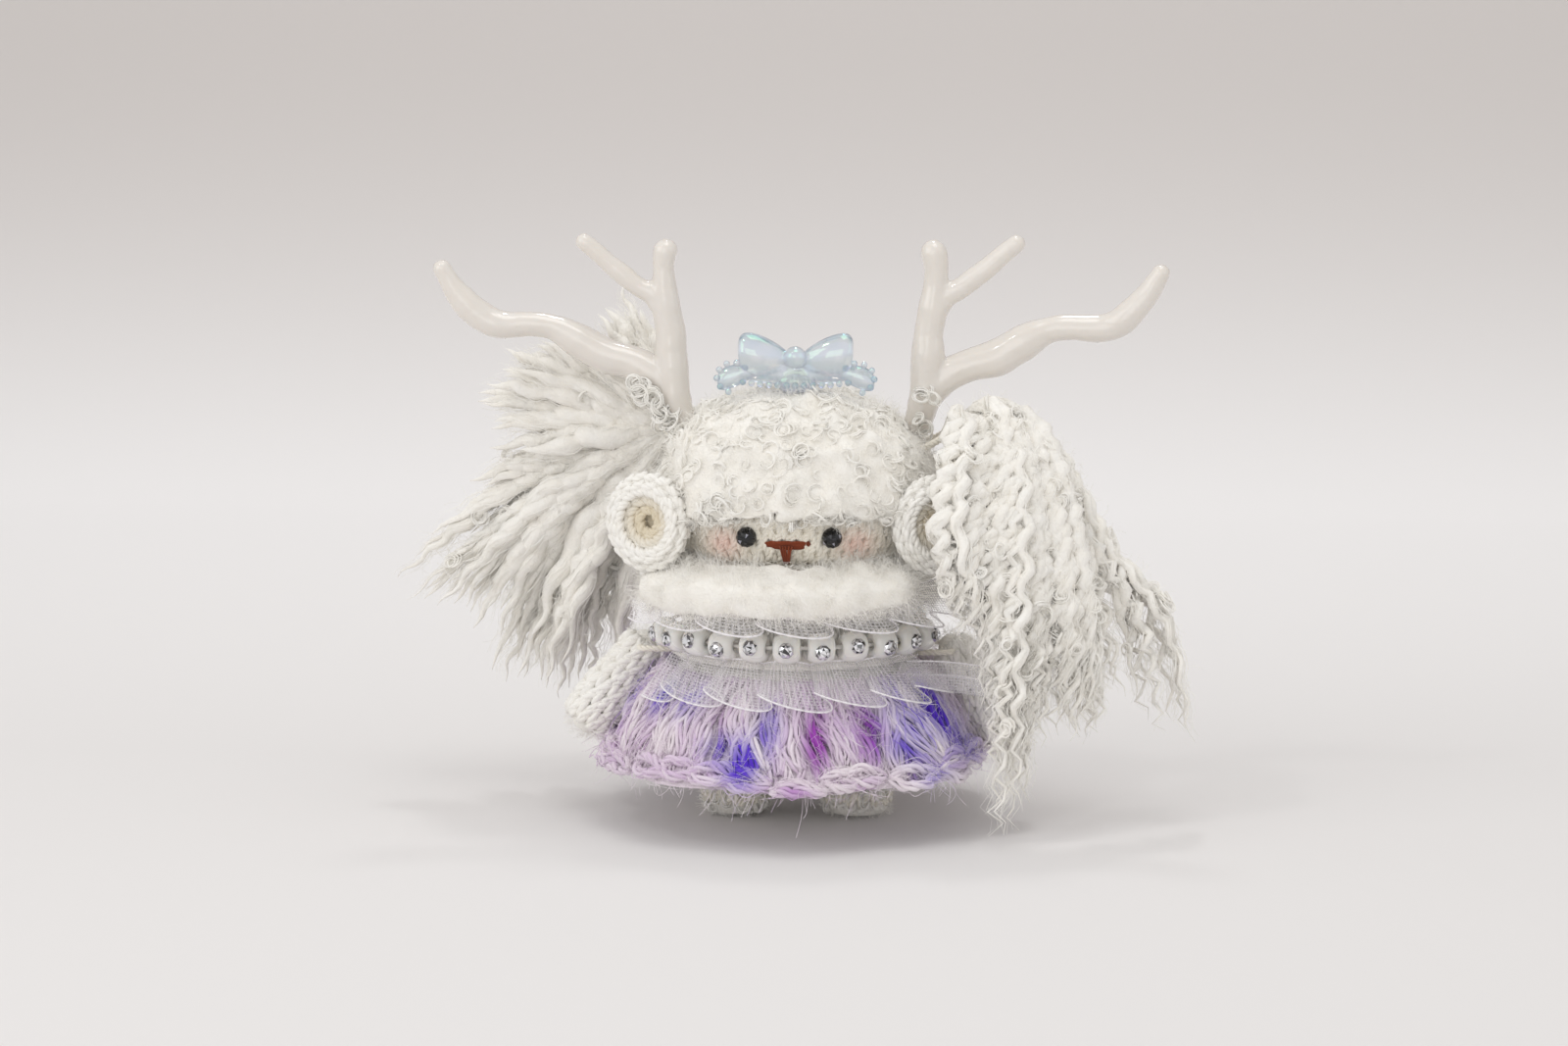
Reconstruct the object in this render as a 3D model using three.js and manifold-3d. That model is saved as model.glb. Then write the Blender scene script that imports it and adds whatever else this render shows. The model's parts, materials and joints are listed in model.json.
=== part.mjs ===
// A crocheted lamb that stands on two stub legs, in a flared skirt, ruffles, beads and antlers.
// Millimetres, +Z up, the face looks along -Y and the soles stand at z = 0.
import * as THREE from "three";
import { mergeVertices } from "three/addons/utils/BufferGeometryUtils.js";
import Module from "manifold-3d";

const wasm = await Module();
wasm.setup();

// Fit between neighbouring pieces.
const gap = 0.3;
const yarnRadius = 0.8;
const coverThickness = 2.2;

// Legs and body.
const footRadius = 7.2;
const soleRadius = 5.8;
const legSpread = 12.5;
const legForward = 2.5;
const bodyBottom = 4.5;
const bodyHeight = 42;
const bodyRadius = 26;
const bodyWidest = 0.35;
const neckRadius = 14.5;

// Head, cap and face.
const headHalfWidth = 25;
const headHalfDepth = 23.5;
const headRise = 21;
const headDrop = 14;
const headPower = 2.3;
const capThickness = 4;
const browHeight = 1.9;
const browSlope = 9;
const eyeRadius = 2.1;
const eyeSpacing = 17;
const eyeDrop = 2.6;
const noseWidth = 9;
const noseDrop = 3.2;
const stitchRadius = 0.75;

// Ears.
const earRadius = 8.8;
const earTurn = 22;
const earOut = 28.2;
const earForward = 15;
const earLift = -0.6;

// Antlers, from the base on the cap: x outwards, z upwards.
const antlerOut = 24.2;
const antlerBack = 4;
const antlerBase = 17.6;
const antlerThickness = 2.8;
const antlerPeg = 8;

// Bow bead.
const bowForward = 5;
const bowLift = 7.6;
const bowLobe = 12;
const bowTail = 16.2;
const bowKnot = 2.4;
const bowDot = 0.7;
const bowNarrow = 1.2;
const bowFull = 4.4;
const bowTilt = 1.8;
const tailStart = 7.6;
const tailFull = 3;
const tailFall = 2;
const plateThickness = 1.6;
const plateHeight = 2.4;
const plateDrop = 3.4;
const bowFootWidth = 2.6;
const bowFootHeight = 4.8;

// Dress: yoke band, skirt, collar, ruffles.
const yokeHeight = 10;
const yokeThickness = 2;
const skirtThickness = 2;
const skirtHemRadius = 41;
const hemHeight = 11.6;
const hemRise = 1.6;
const skirtFolds = 9;
const skirtFoldDepth = 1.4;
const armDent = 3.4;
const collarRadius = 24.5;
const collarThickness = 6.2;
const collarHeight = 6.4;
const ribbonThickness = 0.4;
const upperFolds = 9;
const upperFoldDepth = 1.2;
const upperFall = 7.5;
const upperFlare = 1.2;
const lowerFolds = 7;
const lowerFoldDepth = 1.9;
const lowerFall = 7;
const lowerFlare = 7.6;
const tailLength = 17;
const tailWidth = 6.5;

// Necklace.
const frontBeads = 11;
const beadPitch = 13.7;
const beadRadius = 3.1;
const beadLength = 5.6;
const cordRadius = 0.5;
const stoneRadius = 1.4;
const stoneDepth = 1.1;
const beadTilt = 12;

// Arms.
const armLength = 17.6;
const armHang = 54;
const shoulderRadius = 4.4;
const handRadius = 5.8;
const shoulderLoopRadius = 0.7;

// Pigtails.
const knotRadius = 3.4;
const knotHeight = 13;
const leftKnotBack = 11;
const rightKnotBack = 3;
const lockRadius = 3.3;
const lockWave = 1.5;
const lockWaveLength = 22;

// Heights and radii that follow from the sizes above.
const neckTop = bodyBottom + bodyHeight;
const headBottom = neckTop + 2 * yarnRadius + 2 * gap;
const headCentre = headBottom + headDrop;
const yokeTop = neckTop - 3.2;
const yokeBottom = yokeTop - yokeHeight;
const necklaceHeight = neckTop - 7.8;
const necklaceRadius = yokeRadiusAt(necklaceHeight) + 2 * gap + beadRadius;
const skirtTop = yokeBottom - gap - 0.4 * skirtThickness;
const skirtTopRadius = bodyRadiusAt(skirtTop) + gap + skirtThickness / 2;
const collarCentre = neckTop + 2.6;
const shoulderHeight = yokeBottom + 1.4;
const shoulderOut = yokeRadiusAt(yokeBottom) + 2 * gap + shoulderRadius;
const shoulderForward = 1;

// Materials.
const wool = material("#efece4", 0.95);
const faceYarn = material("#f3efe6", 0.92);
const innerFill = material("#f7f6f2", 0.97);
const thread = material("#e6dfd2", 0.9);
const brownThread = material("#8a4a2f", 0.8);
const eyeBlack = material("#0c0b0c", 0.15);
const antlerWhite = material("#f4f3f0", 0.25);
const bowClear = material("#dcecf7", 0.1);
const mohair = material("#b68cc4", 0.95);
const organza = material("#f6f4f5", 0.6);
const milkyBead = material("#eee6da", 0.25);
const clearStone = material("#e6f0f4", 0.05);

const lamb = new THREE.Group();
lamb.name = "crochet_lamb";

function material(colour, roughness) {
  return new THREE.MeshStandardMaterial({ color: colour, roughness, metalness: 0 });
}

// The body swells from its base to its widest point and closes in towards the neck.
function bodyRadiusAt(z) {
  const u = (z - bodyBottom) / bodyHeight;
  if (u < bodyWidest) {
    const below = (bodyWidest - u) / bodyWidest;
    return bodyRadius * Math.sqrt(Math.max(0, 1 - below * below));
  }
  const above = (u - bodyWidest) / (1 - bodyWidest);
  return neckRadius + (bodyRadius - neckRadius) * (1 - above ** 3);
}

// The yoke band lies on the body.
function yokeRadiusAt(z) {
  return bodyRadiusAt(z) + gap + yokeThickness;
}

// Makes a solid of a closed geometry: shared corners merged, faces turned outwards.
function solidOf(geometry) {
  const bare = new THREE.BufferGeometry();
  bare.setAttribute("position", geometry.getAttribute("position").clone());
  if (geometry.index) {
    bare.setIndex(geometry.index.clone());
  }
  const merged = mergeVertices(bare, 1e-4);
  const corners = merged.getAttribute("position").array;
  const index = merged.index.array;
  const kept = [];
  let volume = 0;
  for (let i = 0; i < index.length; i += 3) {
    const [a, b, c] = [index[i], index[i + 1], index[i + 2]];
    if (a === b || b === c || a === c) {
      continue;
    }
    kept.push(a, b, c);
    const pa = new THREE.Vector3().fromArray(corners, a * 3);
    const pb = new THREE.Vector3().fromArray(corners, b * 3);
    const pc = new THREE.Vector3().fromArray(corners, c * 3);
    volume += pa.dot(pb.cross(pc));
  }
  if (volume < 0) {
    for (let i = 0; i < kept.length; i += 3) {
      [kept[i + 1], kept[i + 2]] = [kept[i + 2], kept[i + 1]];
    }
  }
  const mesh = new wasm.Mesh({
    numProp: 3,
    vertProperties: new Float32Array(corners),
    triVerts: new Uint32Array(kept),
  });
  return new wasm.Manifold(mesh);
}

// Drops the inner skins of sealed hollows, so that a bundle of locks is solid throughout.
function filled(solid) {
  const mesh = solid.getMesh();
  const corners = mesh.vertProperties;
  const index = mesh.triVerts;
  const parent = Array.from({ length: corners.length / 3 }, (_, i) => i);
  const skinOf = (corner) => {
    let at = corner;
    while (parent[at] !== at) {
      parent[at] = parent[parent[at]];
      at = parent[at];
    }
    return at;
  };
  for (let i = 0; i < index.length; i += 3) {
    parent[skinOf(index[i])] = skinOf(index[i + 1]);
    parent[skinOf(index[i + 1])] = skinOf(index[i + 2]);
  }
  const volumes = new Map();
  for (let i = 0; i < index.length; i += 3) {
    const [a, b, c] = [0, 1, 2].map((k) => new THREE.Vector3().fromArray(corners, index[i + k] * 3));
    const skin = skinOf(index[i]);
    volumes.set(skin, (volumes.get(skin) ?? 0) + a.dot(b.cross(c)));
  }
  const kept = [];
  for (let i = 0; i < index.length; i += 3) {
    if (volumes.get(skinOf(index[i])) > 0) {
      kept.push(index[i], index[i + 1], index[i + 2]);
    }
  }
  const geometry = new THREE.BufferGeometry();
  geometry.setAttribute("position", new THREE.BufferAttribute(corners, 3));
  geometry.setIndex(kept);
  return solidOf(geometry);
}

function geometryOf(solid) {
  const mesh = solid.getMesh();
  const geometry = new THREE.BufferGeometry();
  geometry.setAttribute("position", new THREE.BufferAttribute(mesh.vertProperties, 3));
  geometry.setIndex(new THREE.BufferAttribute(mesh.triVerts, 1));
  geometry.computeVertexNormals();
  return geometry;
}

function addPart(name, solid, look) {
  const mesh = new THREE.Mesh(geometryOf(solid), look);
  mesh.name = name;
  lamb.add(mesh);
  return solid;
}

function join(solids) {
  return solids.reduce((whole, next) => whole.add(next));
}

function cut(solid, tools) {
  return tools.reduce((left, tool) => left.subtract(tool), solid);
}

// A solid of revolution about +Z through (x, y), from points of radius and height.
function revolve(points, around, x = 0, y = 0) {
  const profile = points.map(([radius, height]) => new THREE.Vector2(radius, height));
  const geometry = new THREE.LatheGeometry(profile, around);
  geometry.rotateX(Math.PI / 2);
  geometry.translate(x, y, 0);
  return solidOf(geometry);
}

// A closed ring profile: an ellipse about (radius, height).
function ringProfile(radius, height, halfWidth, halfHeight, sides) {
  const points = [];
  for (let i = 0; i <= sides; i++) {
    const angle = (2 * Math.PI * (i % sides)) / sides;
    points.push([radius + halfWidth * Math.cos(angle), height + halfHeight * Math.sin(angle)]);
  }
  return points;
}

// A rounded block: a sphere pushed out to unequal half sizes and a squarer or rounder section.
function roundBlock(halfX, halfY, up, down, power, around, rings) {
  const geometry = new THREE.SphereGeometry(1, around, rings);
  geometry.rotateX(Math.PI / 2);
  const position = geometry.getAttribute("position");
  const point = new THREE.Vector3();
  for (let i = 0; i < position.count; i++) {
    point.fromBufferAttribute(position, i);
    const halfZ = point.z > 0 ? up : down;
    const sum =
      Math.abs(point.x / halfX) ** power +
      Math.abs(point.y / halfY) ** power +
      Math.abs(point.z / halfZ) ** power;
    point.multiplyScalar(sum ** (-1 / power));
    position.setXYZ(i, point.x, point.y, point.z);
  }
  return geometry;
}

// A closed tube along a curve, with its own radius at each station and closed ends.
function tube(curve, radiusAt, stations, sides) {
  const corners = [];
  const triangles = [];
  const tangent = curve.getTangentAt(0);
  const normal = new THREE.Vector3(0, 1, 0);
  if (Math.abs(tangent.y) > 0.9) {
    normal.set(1, 0, 0);
  }
  normal.sub(tangent.clone().multiplyScalar(normal.dot(tangent))).normalize();
  const turn = new THREE.Quaternion();
  stations.forEach((t, row) => {
    const next = curve.getTangentAt(t);
    turn.setFromUnitVectors(tangent, next);
    normal.applyQuaternion(turn);
    tangent.copy(next);
    const side = new THREE.Vector3().crossVectors(tangent, normal);
    const centre = curve.getPointAt(t);
    const radius = radiusAt(t);
    for (let i = 0; i < sides; i++) {
      const angle = (2 * Math.PI * i) / sides;
      const point = centre.clone();
      point.addScaledVector(normal, radius * Math.cos(angle));
      point.addScaledVector(side, radius * Math.sin(angle));
      corners.push(point.x, point.y, point.z);
      if (row > 0) {
        const a = (row - 1) * sides + i;
        const b = (row - 1) * sides + ((i + 1) % sides);
        triangles.push(a, b, b + sides, a, b + sides, a + sides);
      }
    }
  });
  const last = (stations.length - 1) * sides;
  for (let i = 1; i < sides - 1; i++) {
    triangles.push(0, i + 1, i, last, last + i, last + i + 1);
  }
  const geometry = new THREE.BufferGeometry();
  geometry.setAttribute("position", new THREE.Float32BufferAttribute(corners, 3));
  geometry.setIndex(triangles);
  return solidOf(geometry);
}

function evenly(count) {
  return Array.from({ length: count + 1 }, (_, i) => i / count);
}

// Stations that crowd towards both ends, for tubes with rounded ends.
function endwards(count) {
  return evenly(count).map((t) => 0.5 - 0.5 * Math.cos(Math.PI * t));
}

// Rounds off the ends of a radius law over the given shares of the length.
function rounded(radiusAt, startShare, endShare) {
  return (t) => {
    let share = 1;
    if (t < startShare) {
      share = Math.sqrt(Math.max(0, 1 - (1 - t / startShare) ** 2));
    }
    if (t > 1 - endShare) {
      share = Math.sqrt(Math.max(0, 1 - (1 - (1 - t) / endShare) ** 2));
    }
    return radiusAt(t) * share;
  };
}

// Passes through value pairs [t, value] with straight steps between.
function through(pairs) {
  return (t) => {
    const at = pairs.findIndex(([s]) => s >= t);
    if (at <= 0) {
      return at < 0 ? pairs[pairs.length - 1][1] : pairs[0][1];
    }
    const [s0, v0] = pairs[at - 1];
    const [s1, v1] = pairs[at];
    return v0 + ((v1 - v0) * (t - s0)) / (s1 - s0);
  };
}

function pathOf(points) {
  return new THREE.CatmullRomCurve3(points.map(([x, y, z]) => new THREE.Vector3(x, y, z)));
}

// A thin closed sheet over a grid of points; it closes on itself along s when wrapped.
function sheet(pointAt, along, across, thickness, wrapped) {
  const columns = wrapped ? along : along + 1;
  const rows = across + 1;
  const corners = [];
  const triangles = [];
  const step = 1e-3;
  for (const face of [0.5, -0.5]) {
    for (let i = 0; i < columns; i++) {
      for (let j = 0; j < rows; j++) {
        const s = i / along;
        const t = j / across;
        const point = pointAt(s, t);
        const alongS = pointAt(s + step, t).sub(pointAt(s - step, t));
        const alongT = pointAt(s, t + step).sub(pointAt(s, t - step));
        const normal = alongS.cross(alongT).normalize();
        point.addScaledVector(normal, face * thickness);
        corners.push(point.x, point.y, point.z);
      }
    }
  }
  const back = columns * rows;
  const at = (i, j) => (i % columns) * rows + j;
  const quad = (a, b, c, d) => triangles.push(a, b, c, a, c, d);
  for (let i = 0; i < along; i++) {
    for (let j = 0; j < across; j++) {
      quad(at(i, j), at(i + 1, j), at(i + 1, j + 1), at(i, j + 1));
      quad(back + at(i, j), back + at(i, j + 1), back + at(i + 1, j + 1), back + at(i + 1, j));
    }
    quad(at(i, 0), back + at(i, 0), back + at(i + 1, 0), at(i + 1, 0));
    quad(at(i, across), at(i + 1, across), back + at(i + 1, across), back + at(i, across));
  }
  if (!wrapped) {
    for (let j = 0; j < across; j++) {
      quad(at(0, j), at(0, j + 1), back + at(0, j + 1), back + at(0, j));
      quad(at(along, j), back + at(along, j), back + at(along, j + 1), at(along, j + 1));
    }
  }
  const geometry = new THREE.BufferGeometry();
  geometry.setAttribute("position", new THREE.Float32BufferAttribute(corners, 3));
  geometry.setIndex(triangles);
  return solidOf(geometry);
}

function ease(from, to, value) {
  const t = Math.min(1, Math.max(0, (value - from) / (to - from)));
  return t * t * (3 - 2 * t);
}

// Head and cap bodies, grown outwards by an allowance.
function headBody(grow, around = 24, rings = 12) {
  const geometry = roundBlock(
    headHalfWidth + grow,
    headHalfDepth + grow,
    headRise + grow,
    headDrop + grow,
    headPower,
    around,
    rings,
  );
  geometry.translate(0, 0, headCentre);
  return solidOf(geometry);
}

function capBody(grow) {
  const whole = headBody(gap + capThickness + grow).subtract(headBody(gap - grow));
  const reach = 4 * (headHalfWidth + capThickness);
  const below = new THREE.BoxGeometry(reach, reach, reach);
  below.translate(0, 0, -reach / 2 - grow);
  below.rotateX(THREE.MathUtils.degToRad(-browSlope));
  const fall = headHalfDepth * Math.tan(THREE.MathUtils.degToRad(browSlope));
  below.translate(0, 0, headCentre + browHeight - fall);
  return whole.subtract(solidOf(below));
}

// Depth of the face at (x, z), measured towards the viewer.
function faceDepth(x, z, grow) {
  const halfZ = z > headCentre ? headRise + grow : headDrop + grow;
  const used =
    Math.abs(x / (headHalfWidth + grow)) ** headPower +
    Math.abs((z - headCentre) / halfZ) ** headPower;
  return (headHalfDepth + grow) * Math.max(0, 1 - used) ** (1 / headPower);
}

// Height of the cap over (x, y).
function capHeight(x, y) {
  const grow = gap + capThickness;
  const used =
    Math.abs(x / (headHalfWidth + grow)) ** headPower +
    Math.abs(y / (headHalfDepth + grow)) ** headPower;
  return headCentre + (headRise + grow) * Math.max(0, 1 - used) ** (1 / headPower);
}

// Sideways reach of the cap at (y, z).
function capReach(y, z) {
  const grow = gap + capThickness;
  const used =
    Math.abs(y / (headHalfDepth + grow)) ** headPower +
    Math.abs((z - headCentre) / (headRise + grow)) ** headPower;
  return (headHalfWidth + grow) * Math.max(0, 1 - used) ** (1 / headPower);
}

// Body cover with an open neck, its stuffing and the seam yarn.
function bodyProfile(inset, top) {
  const points = [[0, bodyBottom + inset]];
  const steps = 9;
  for (let i = 1; i <= steps; i++) {
    const z = bodyBottom + inset + (top - bodyBottom - inset) * (i / steps) ** 1.35;
    points.push([bodyRadiusAt(z - inset * (1 - i / steps)) - inset, z]);
  }
  return points;
}

function buildBody() {
  const outer = bodyProfile(0, neckTop);
  const inner = bodyProfile(coverThickness, neckTop).reverse();
  addPart("body_cover", revolve([...outer, ...inner], 24), wool);
  const fill = [...bodyProfile(coverThickness + gap, neckTop), [0, neckTop]];
  addPart("body_stuffing", revolve(fill, 14), innerFill);
  const seamRadius = neckRadius - coverThickness / 2;
  const seamHeight = neckTop + gap + yarnRadius;
  addPart("neck_seam", revolve(ringProfile(seamRadius, seamHeight, yarnRadius, yarnRadius, 6), 20), thread);
}

function buildLegs() {
  const fillet = footRadius - soleRadius;
  const profile = [
    [0, 0],
    [soleRadius, 0],
    [footRadius - fillet * 0.3, fillet * 0.7],
    [footRadius, fillet * 1.8],
    [footRadius * 0.97, bodyBottom + 2],
    [footRadius * 0.86, bodyBottom + 6],
    [0, bodyBottom + 6],
  ];
  const bodySolid = revolve([...bodyProfile(-gap, neckTop), [0, neckTop]], 24);
  for (const [name, side] of [["left_leg", -1], ["right_leg", 1]]) {
    const leg = revolve(profile, 16, side * legSpread, -legForward);
    addPart(name, leg.subtract(bodySolid), faceYarn);
  }
}

// Antler paths in the antler's own frame, for the right side.
const antlerTrunk = [
  [0, 0, 0],
  [1.5, 0.2, 5],
  [1.8, 0.3, 11],
  [2.1, 0.4, 17.3],
  [3, 0.2, 23.4],
  [3.5, 0, 28],
  [3.4, -0.4, 34.6],
];
const antlerOuterTine = [
  [3, 0.2, 22.5],
  [5.6, 0.2, 25.6],
  [8.8, 0, 27.4],
  [13.3, -0.4, 31],
  [20.2, -1.2, 36.6],
];
const antlerLongTine = [
  [0.8, 0.2, 3.6],
  [4.6, 0.6, 8.2],
  [10, 1.2, 11.4],
  [16, 1.6, 12.8],
  [21.5, 1.6, 15.8],
  [25.5, 1.4, 18.4],
  [31, 1, 19.4],
  [37, 0.6, 18.9],
  [41.5, 0.2, 20.6],
  [45.6, -0.4, 25],
  [49.4, -1, 31],
];

function antlerPath(points, side) {
  const foot = headCentre + antlerBase;
  return pathOf(points.map(([x, y, z]) => [side * (antlerOut + x), antlerBack + y, foot + z]));
}

// The peg goes on from the trunk, through the cap and the cover into the stuffing.
function antlerPegBody(side, grow) {
  const radius = antlerThickness * 0.8 + grow;
  const path = antlerPath([[0.4, 0.1, 3], [-1.5, 0, -antlerPeg / 2], [-4, 0, -antlerPeg - grow]], side);
  return tube(path, () => radius, evenly(3), 8);
}

function buildAntler(name, side) {
  const thick = antlerThickness;
  const trunkLaw = through([[0, 0.82 * thick], [0.35, thick], [0.7, 0.95 * thick], [1, 0.86 * thick]]);
  const outerLaw = through([[0, 0.85 * thick], [0.3, 0.72 * thick], [1, 0.6 * thick]]);
  const longLaw = through([[0, 0.95 * thick], [0.4, 0.85 * thick], [0.7, 0.76 * thick], [1, 0.64 * thick]]);
  const trunkRadius = rounded(trunkLaw, 0.03, 0.07);
  const outerRadius = rounded(outerLaw, 0.05, 0.06);
  const longRadius = rounded(longLaw, 0.03, 0.03);
  const trunk = tube(antlerPath(antlerTrunk, side), trunkRadius, endwards(11), 8);
  const outer = tube(antlerPath(antlerOuterTine, side), outerRadius, endwards(8), 8);
  const long = tube(antlerPath(antlerLongTine, side), longRadius, endwards(18), 8);
  addPart(name, join([trunk, outer, long, antlerPegBody(side, 0)]), antlerWhite);
}

// Eye beads sit half sunk in the face.
function eyeCentre(side) {
  const x = (side * eyeSpacing) / 2;
  const z = headCentre - eyeDrop;
  return new THREE.Vector3(x, -faceDepth(x, z, 0) - 0.5, z);
}

function eyeBody(side, grow) {
  const geometry = new THREE.IcosahedronGeometry(eyeRadius + grow, 1);
  geometry.rotateY(0.3);
  geometry.translate(...eyeCentre(side).toArray());
  return solidOf(geometry);
}

function buildHead() {
  const openingHeight = 2 * coverThickness + 2;
  const openingRadius = neckRadius - coverThickness;
  const opening = new THREE.CylinderGeometry(openingRadius, openingRadius, openingHeight, 24);
  opening.rotateX(Math.PI / 2);
  opening.translate(0, 0, headBottom);
  const tools = [headBody(-coverThickness, 16, 10), solidOf(opening)];
  for (const side of [-1, 1]) {
    tools.push(antlerPegBody(side, gap), eyeBody(side, gap));
  }
  const cover = addPart("head_cover", cut(headBody(0), tools), faceYarn);
  const pegs = [antlerPegBody(-1, gap), antlerPegBody(1, gap)];
  addPart("head_stuffing", cut(headBody(-coverThickness - gap, 16, 10), pegs), innerFill);
  addPart("wool_cap", cut(capBody(0), [...pegs, earBody(-1, gap), earBody(1, gap)]), wool);
  addPart("left_eye_bead", eyeBody(-1, 0), eyeBlack);
  addPart("right_eye_bead", eyeBody(1, 0), eyeBlack);
  return cover;
}

// Nose and mouth: a bar of satin stitch with a short stem, lying on the face.
function buildNose() {
  const z = headCentre - noseDrop;
  const lift = stitchRadius * 0.4 + gap;
  const on = (x, drop) => [x, -faceDepth(x, z - drop, 0) - lift, z - drop];
  const half = noseWidth / 2;
  const law = rounded(() => stitchRadius, 0.06, 0.06);
  const upper = tube(pathOf([on(-half, 0), on(0, 0), on(half, 0)]), law, endwards(6), 6);
  const lower = tube(pathOf([on(-half * 0.8, 0.9), on(0, 1), on(half * 0.8, 0.9)]), law, endwards(6), 6);
  const stemLaw = rounded(() => stitchRadius, 0.1, 0.2);
  const stem = tube(pathOf([on(0, 0.6), on(0, 2), on(0, 3.6)]), stemLaw, endwards(5), 6);
  addPart("nose_stitches", join([upper, lower, stem]).subtract(headBody(gap)), brownThread);
}

// Cupped ears, sewn to the front corners of the head.
function earBody(side, grow) {
  const rim = earRadius + grow;
  const profile = [
    [0, -1.6 - grow],
    [rim * 0.6, -1.2 - grow],
    [rim * 0.95, 0.4 - grow],
    [rim, 1.8],
    [rim * 0.9, 2.8 + grow],
    [rim * 0.72, 2.2 + grow],
    [rim * 0.45, 0.7 + grow],
    [0, 0.4 + grow],
  ];
  const points = profile.map(([radius, height]) => new THREE.Vector2(radius, height));
  const geometry = new THREE.LatheGeometry(points, 18);
  geometry.rotateX(Math.PI);
  geometry.scale(0.96, 1, 1.06);
  geometry.rotateZ(side * THREE.MathUtils.degToRad(earTurn));
  geometry.translate(side * earOut, -earForward, headCentre + earLift);
  return solidOf(geometry);
}

function buildEar(name, side) {
  addPart(name, earBody(side, 0).subtract(headBody(gap)), faceYarn);
}

// The bow is one moulded bead: two puffed loops, two lower loops, a knot and a beaded edge.
function bowLoop(side, from, to, thin, thick, rise, drop) {
  const geometry = new THREE.SphereGeometry(1, 8, 7);
  geometry.rotateZ(Math.PI / 2);
  const position = geometry.getAttribute("position");
  for (let i = 0; i < position.count; i++) {
    const along = position.getX(i);
    const out = (along + 1) / 2;
    const full = (thin + (thick - thin) * out) * Math.sqrt(1 + along * along);
    const x = side * (from + (to - from) * out);
    position.setXYZ(i, x, position.getZ(i) * full * 0.66, position.getY(i) * full + rise * out - drop);
  }
  return geometry;
}

function buildBow() {
  const shapes = [];
  const knot = new THREE.SphereGeometry(bowKnot, 10, 7);
  knot.translate(0, -plateThickness, 0);
  shapes.push(knot);
  const plateHalf = bowTail - tailFull;
  const plateBack = 0.4 * plateThickness;
  const plate = new THREE.SphereGeometry(1, 12, 6);
  plate.scale(plateHalf, plateThickness, plateHeight);
  plate.translate(0, plateBack, -plateDrop);
  shapes.push(plate);
  const foot = new THREE.CylinderGeometry(bowFootWidth, 1.3 * bowFootWidth, bowFootHeight, 8);
  foot.rotateX(Math.PI / 2);
  foot.translate(0, plateBack, -plateDrop - 0.62 * bowFootHeight);
  shapes.push(foot);
  for (const side of [-1, 1]) {
    shapes.push(bowLoop(side, bowNarrow, bowLobe, bowNarrow, bowFull, bowTilt, 0.5 * bowNarrow));
    shapes.push(bowLoop(side, tailStart, bowTail, bowNarrow, tailFull, -tailFall, 1.3 * tailFall));
  }
  const dots = 7;
  for (let i = 0; i < dots; i++) {
    const share = (i / (dots - 1) - 0.5) * 1.7;
    const arch = Math.sqrt(1 - share * share);
    const dot = new THREE.OctahedronGeometry(bowDot, 0);
    const forward = 0.75 * plateThickness * arch;
    dot.translate(share * plateHalf, plateBack - forward, -plateDrop - 0.62 * plateHeight * arch);
    shapes.push(dot);
  }
  const height = capHeight(0, bowForward) + bowLift;
  const solids = shapes.map((shape) => solidOf(shape.translate(0, -bowForward, height)));
  addPart("hair_bow", join(solids).subtract(capBody(gap)), bowClear);
}

// The yoke band goes round the body behind the beads.
function yokeProfile(grow) {
  const steps = 3;
  const points = [];
  for (let i = 0; i <= steps; i++) {
    const z = yokeBottom + (yokeHeight * i) / steps;
    points.push([yokeRadiusAt(z) + grow, z]);
  }
  return points;
}

function buildYoke() {
  const outer = yokeProfile(0);
  const inner = yokeProfile(-yokeThickness).reverse();
  addPart("yoke_band", revolve([...outer, ...inner, outer[0]], 24), faceYarn);
}

// The skirt flares from the yoke to a wavy hem, lower in front, pressed in under each arm.
function skirtPoint(s, t) {
  const angle = 2 * Math.PI * s;
  const front = (1 - Math.sin(angle)) / 2;
  const hem = hemHeight + hemRise * (1 - front);
  const wave = Math.cos(skirtFolds * angle + 0.8) * skirtFoldDepth * t;
  const away = Math.abs(Math.cos(angle));
  const pressed = armDent * ease(0.86, 1, away) * ease(0.1, 0.5, t);
  const spread = Math.min(1, Math.max(0, t)) ** 0.92;
  const radius = skirtTopRadius + (skirtHemRadius - skirtTopRadius) * spread + wave - pressed;
  const z = skirtTop + (hem - skirtTop) * t;
  return new THREE.Vector3(radius * Math.cos(angle), radius * Math.sin(angle), z);
}

function buildSkirt() {
  addPart("skirt", sheet(skirtPoint, 54, 3, skirtThickness, true), mohair);
}

function buildCollar() {
  const ring = revolve(ringProfile(collarRadius, collarCentre, collarThickness, collarHeight, 9), 24);
  addPart("fluffy_collar", ring.subtract(headBody(gap)), wool);
}

// A gathered ribbon: held along its upper edge, folded and flaring to its free edge.
function rufflePoint(angle, t, phase, top, bottom, depth) {
  const radius = top[0] + (bottom[0] - top[0]) * t ** 0.8 + depth * t * Math.cos(phase);
  const lean = (depth * 0.9 * t * Math.sin(2 * phase)) / bottom[0];
  const z = top[1] + (bottom[1] - top[1]) * t;
  const at = angle + lean;
  return new THREE.Vector3(radius * Math.sin(at), -radius * Math.cos(at), z);
}

const upperArc = THREE.MathUtils.degToRad(150);
const lowerArc = THREE.MathUtils.degToRad(116);
const lowerEdge = necklaceHeight - beadRadius - gap;
const lowerTop = [yokeRadiusAt(lowerEdge) + gap + ribbonThickness, lowerEdge];
const lowerBottom = [lowerTop[0] + lowerFlare, lowerEdge - lowerFall];

function lowerRufflePoint(s, t) {
  const angle = (s - 0.5) * lowerArc;
  const phase = 2 * Math.PI * lowerFolds * s;
  return rufflePoint(angle, Math.max(0, t), phase, lowerTop, lowerBottom, lowerFoldDepth);
}

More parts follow.
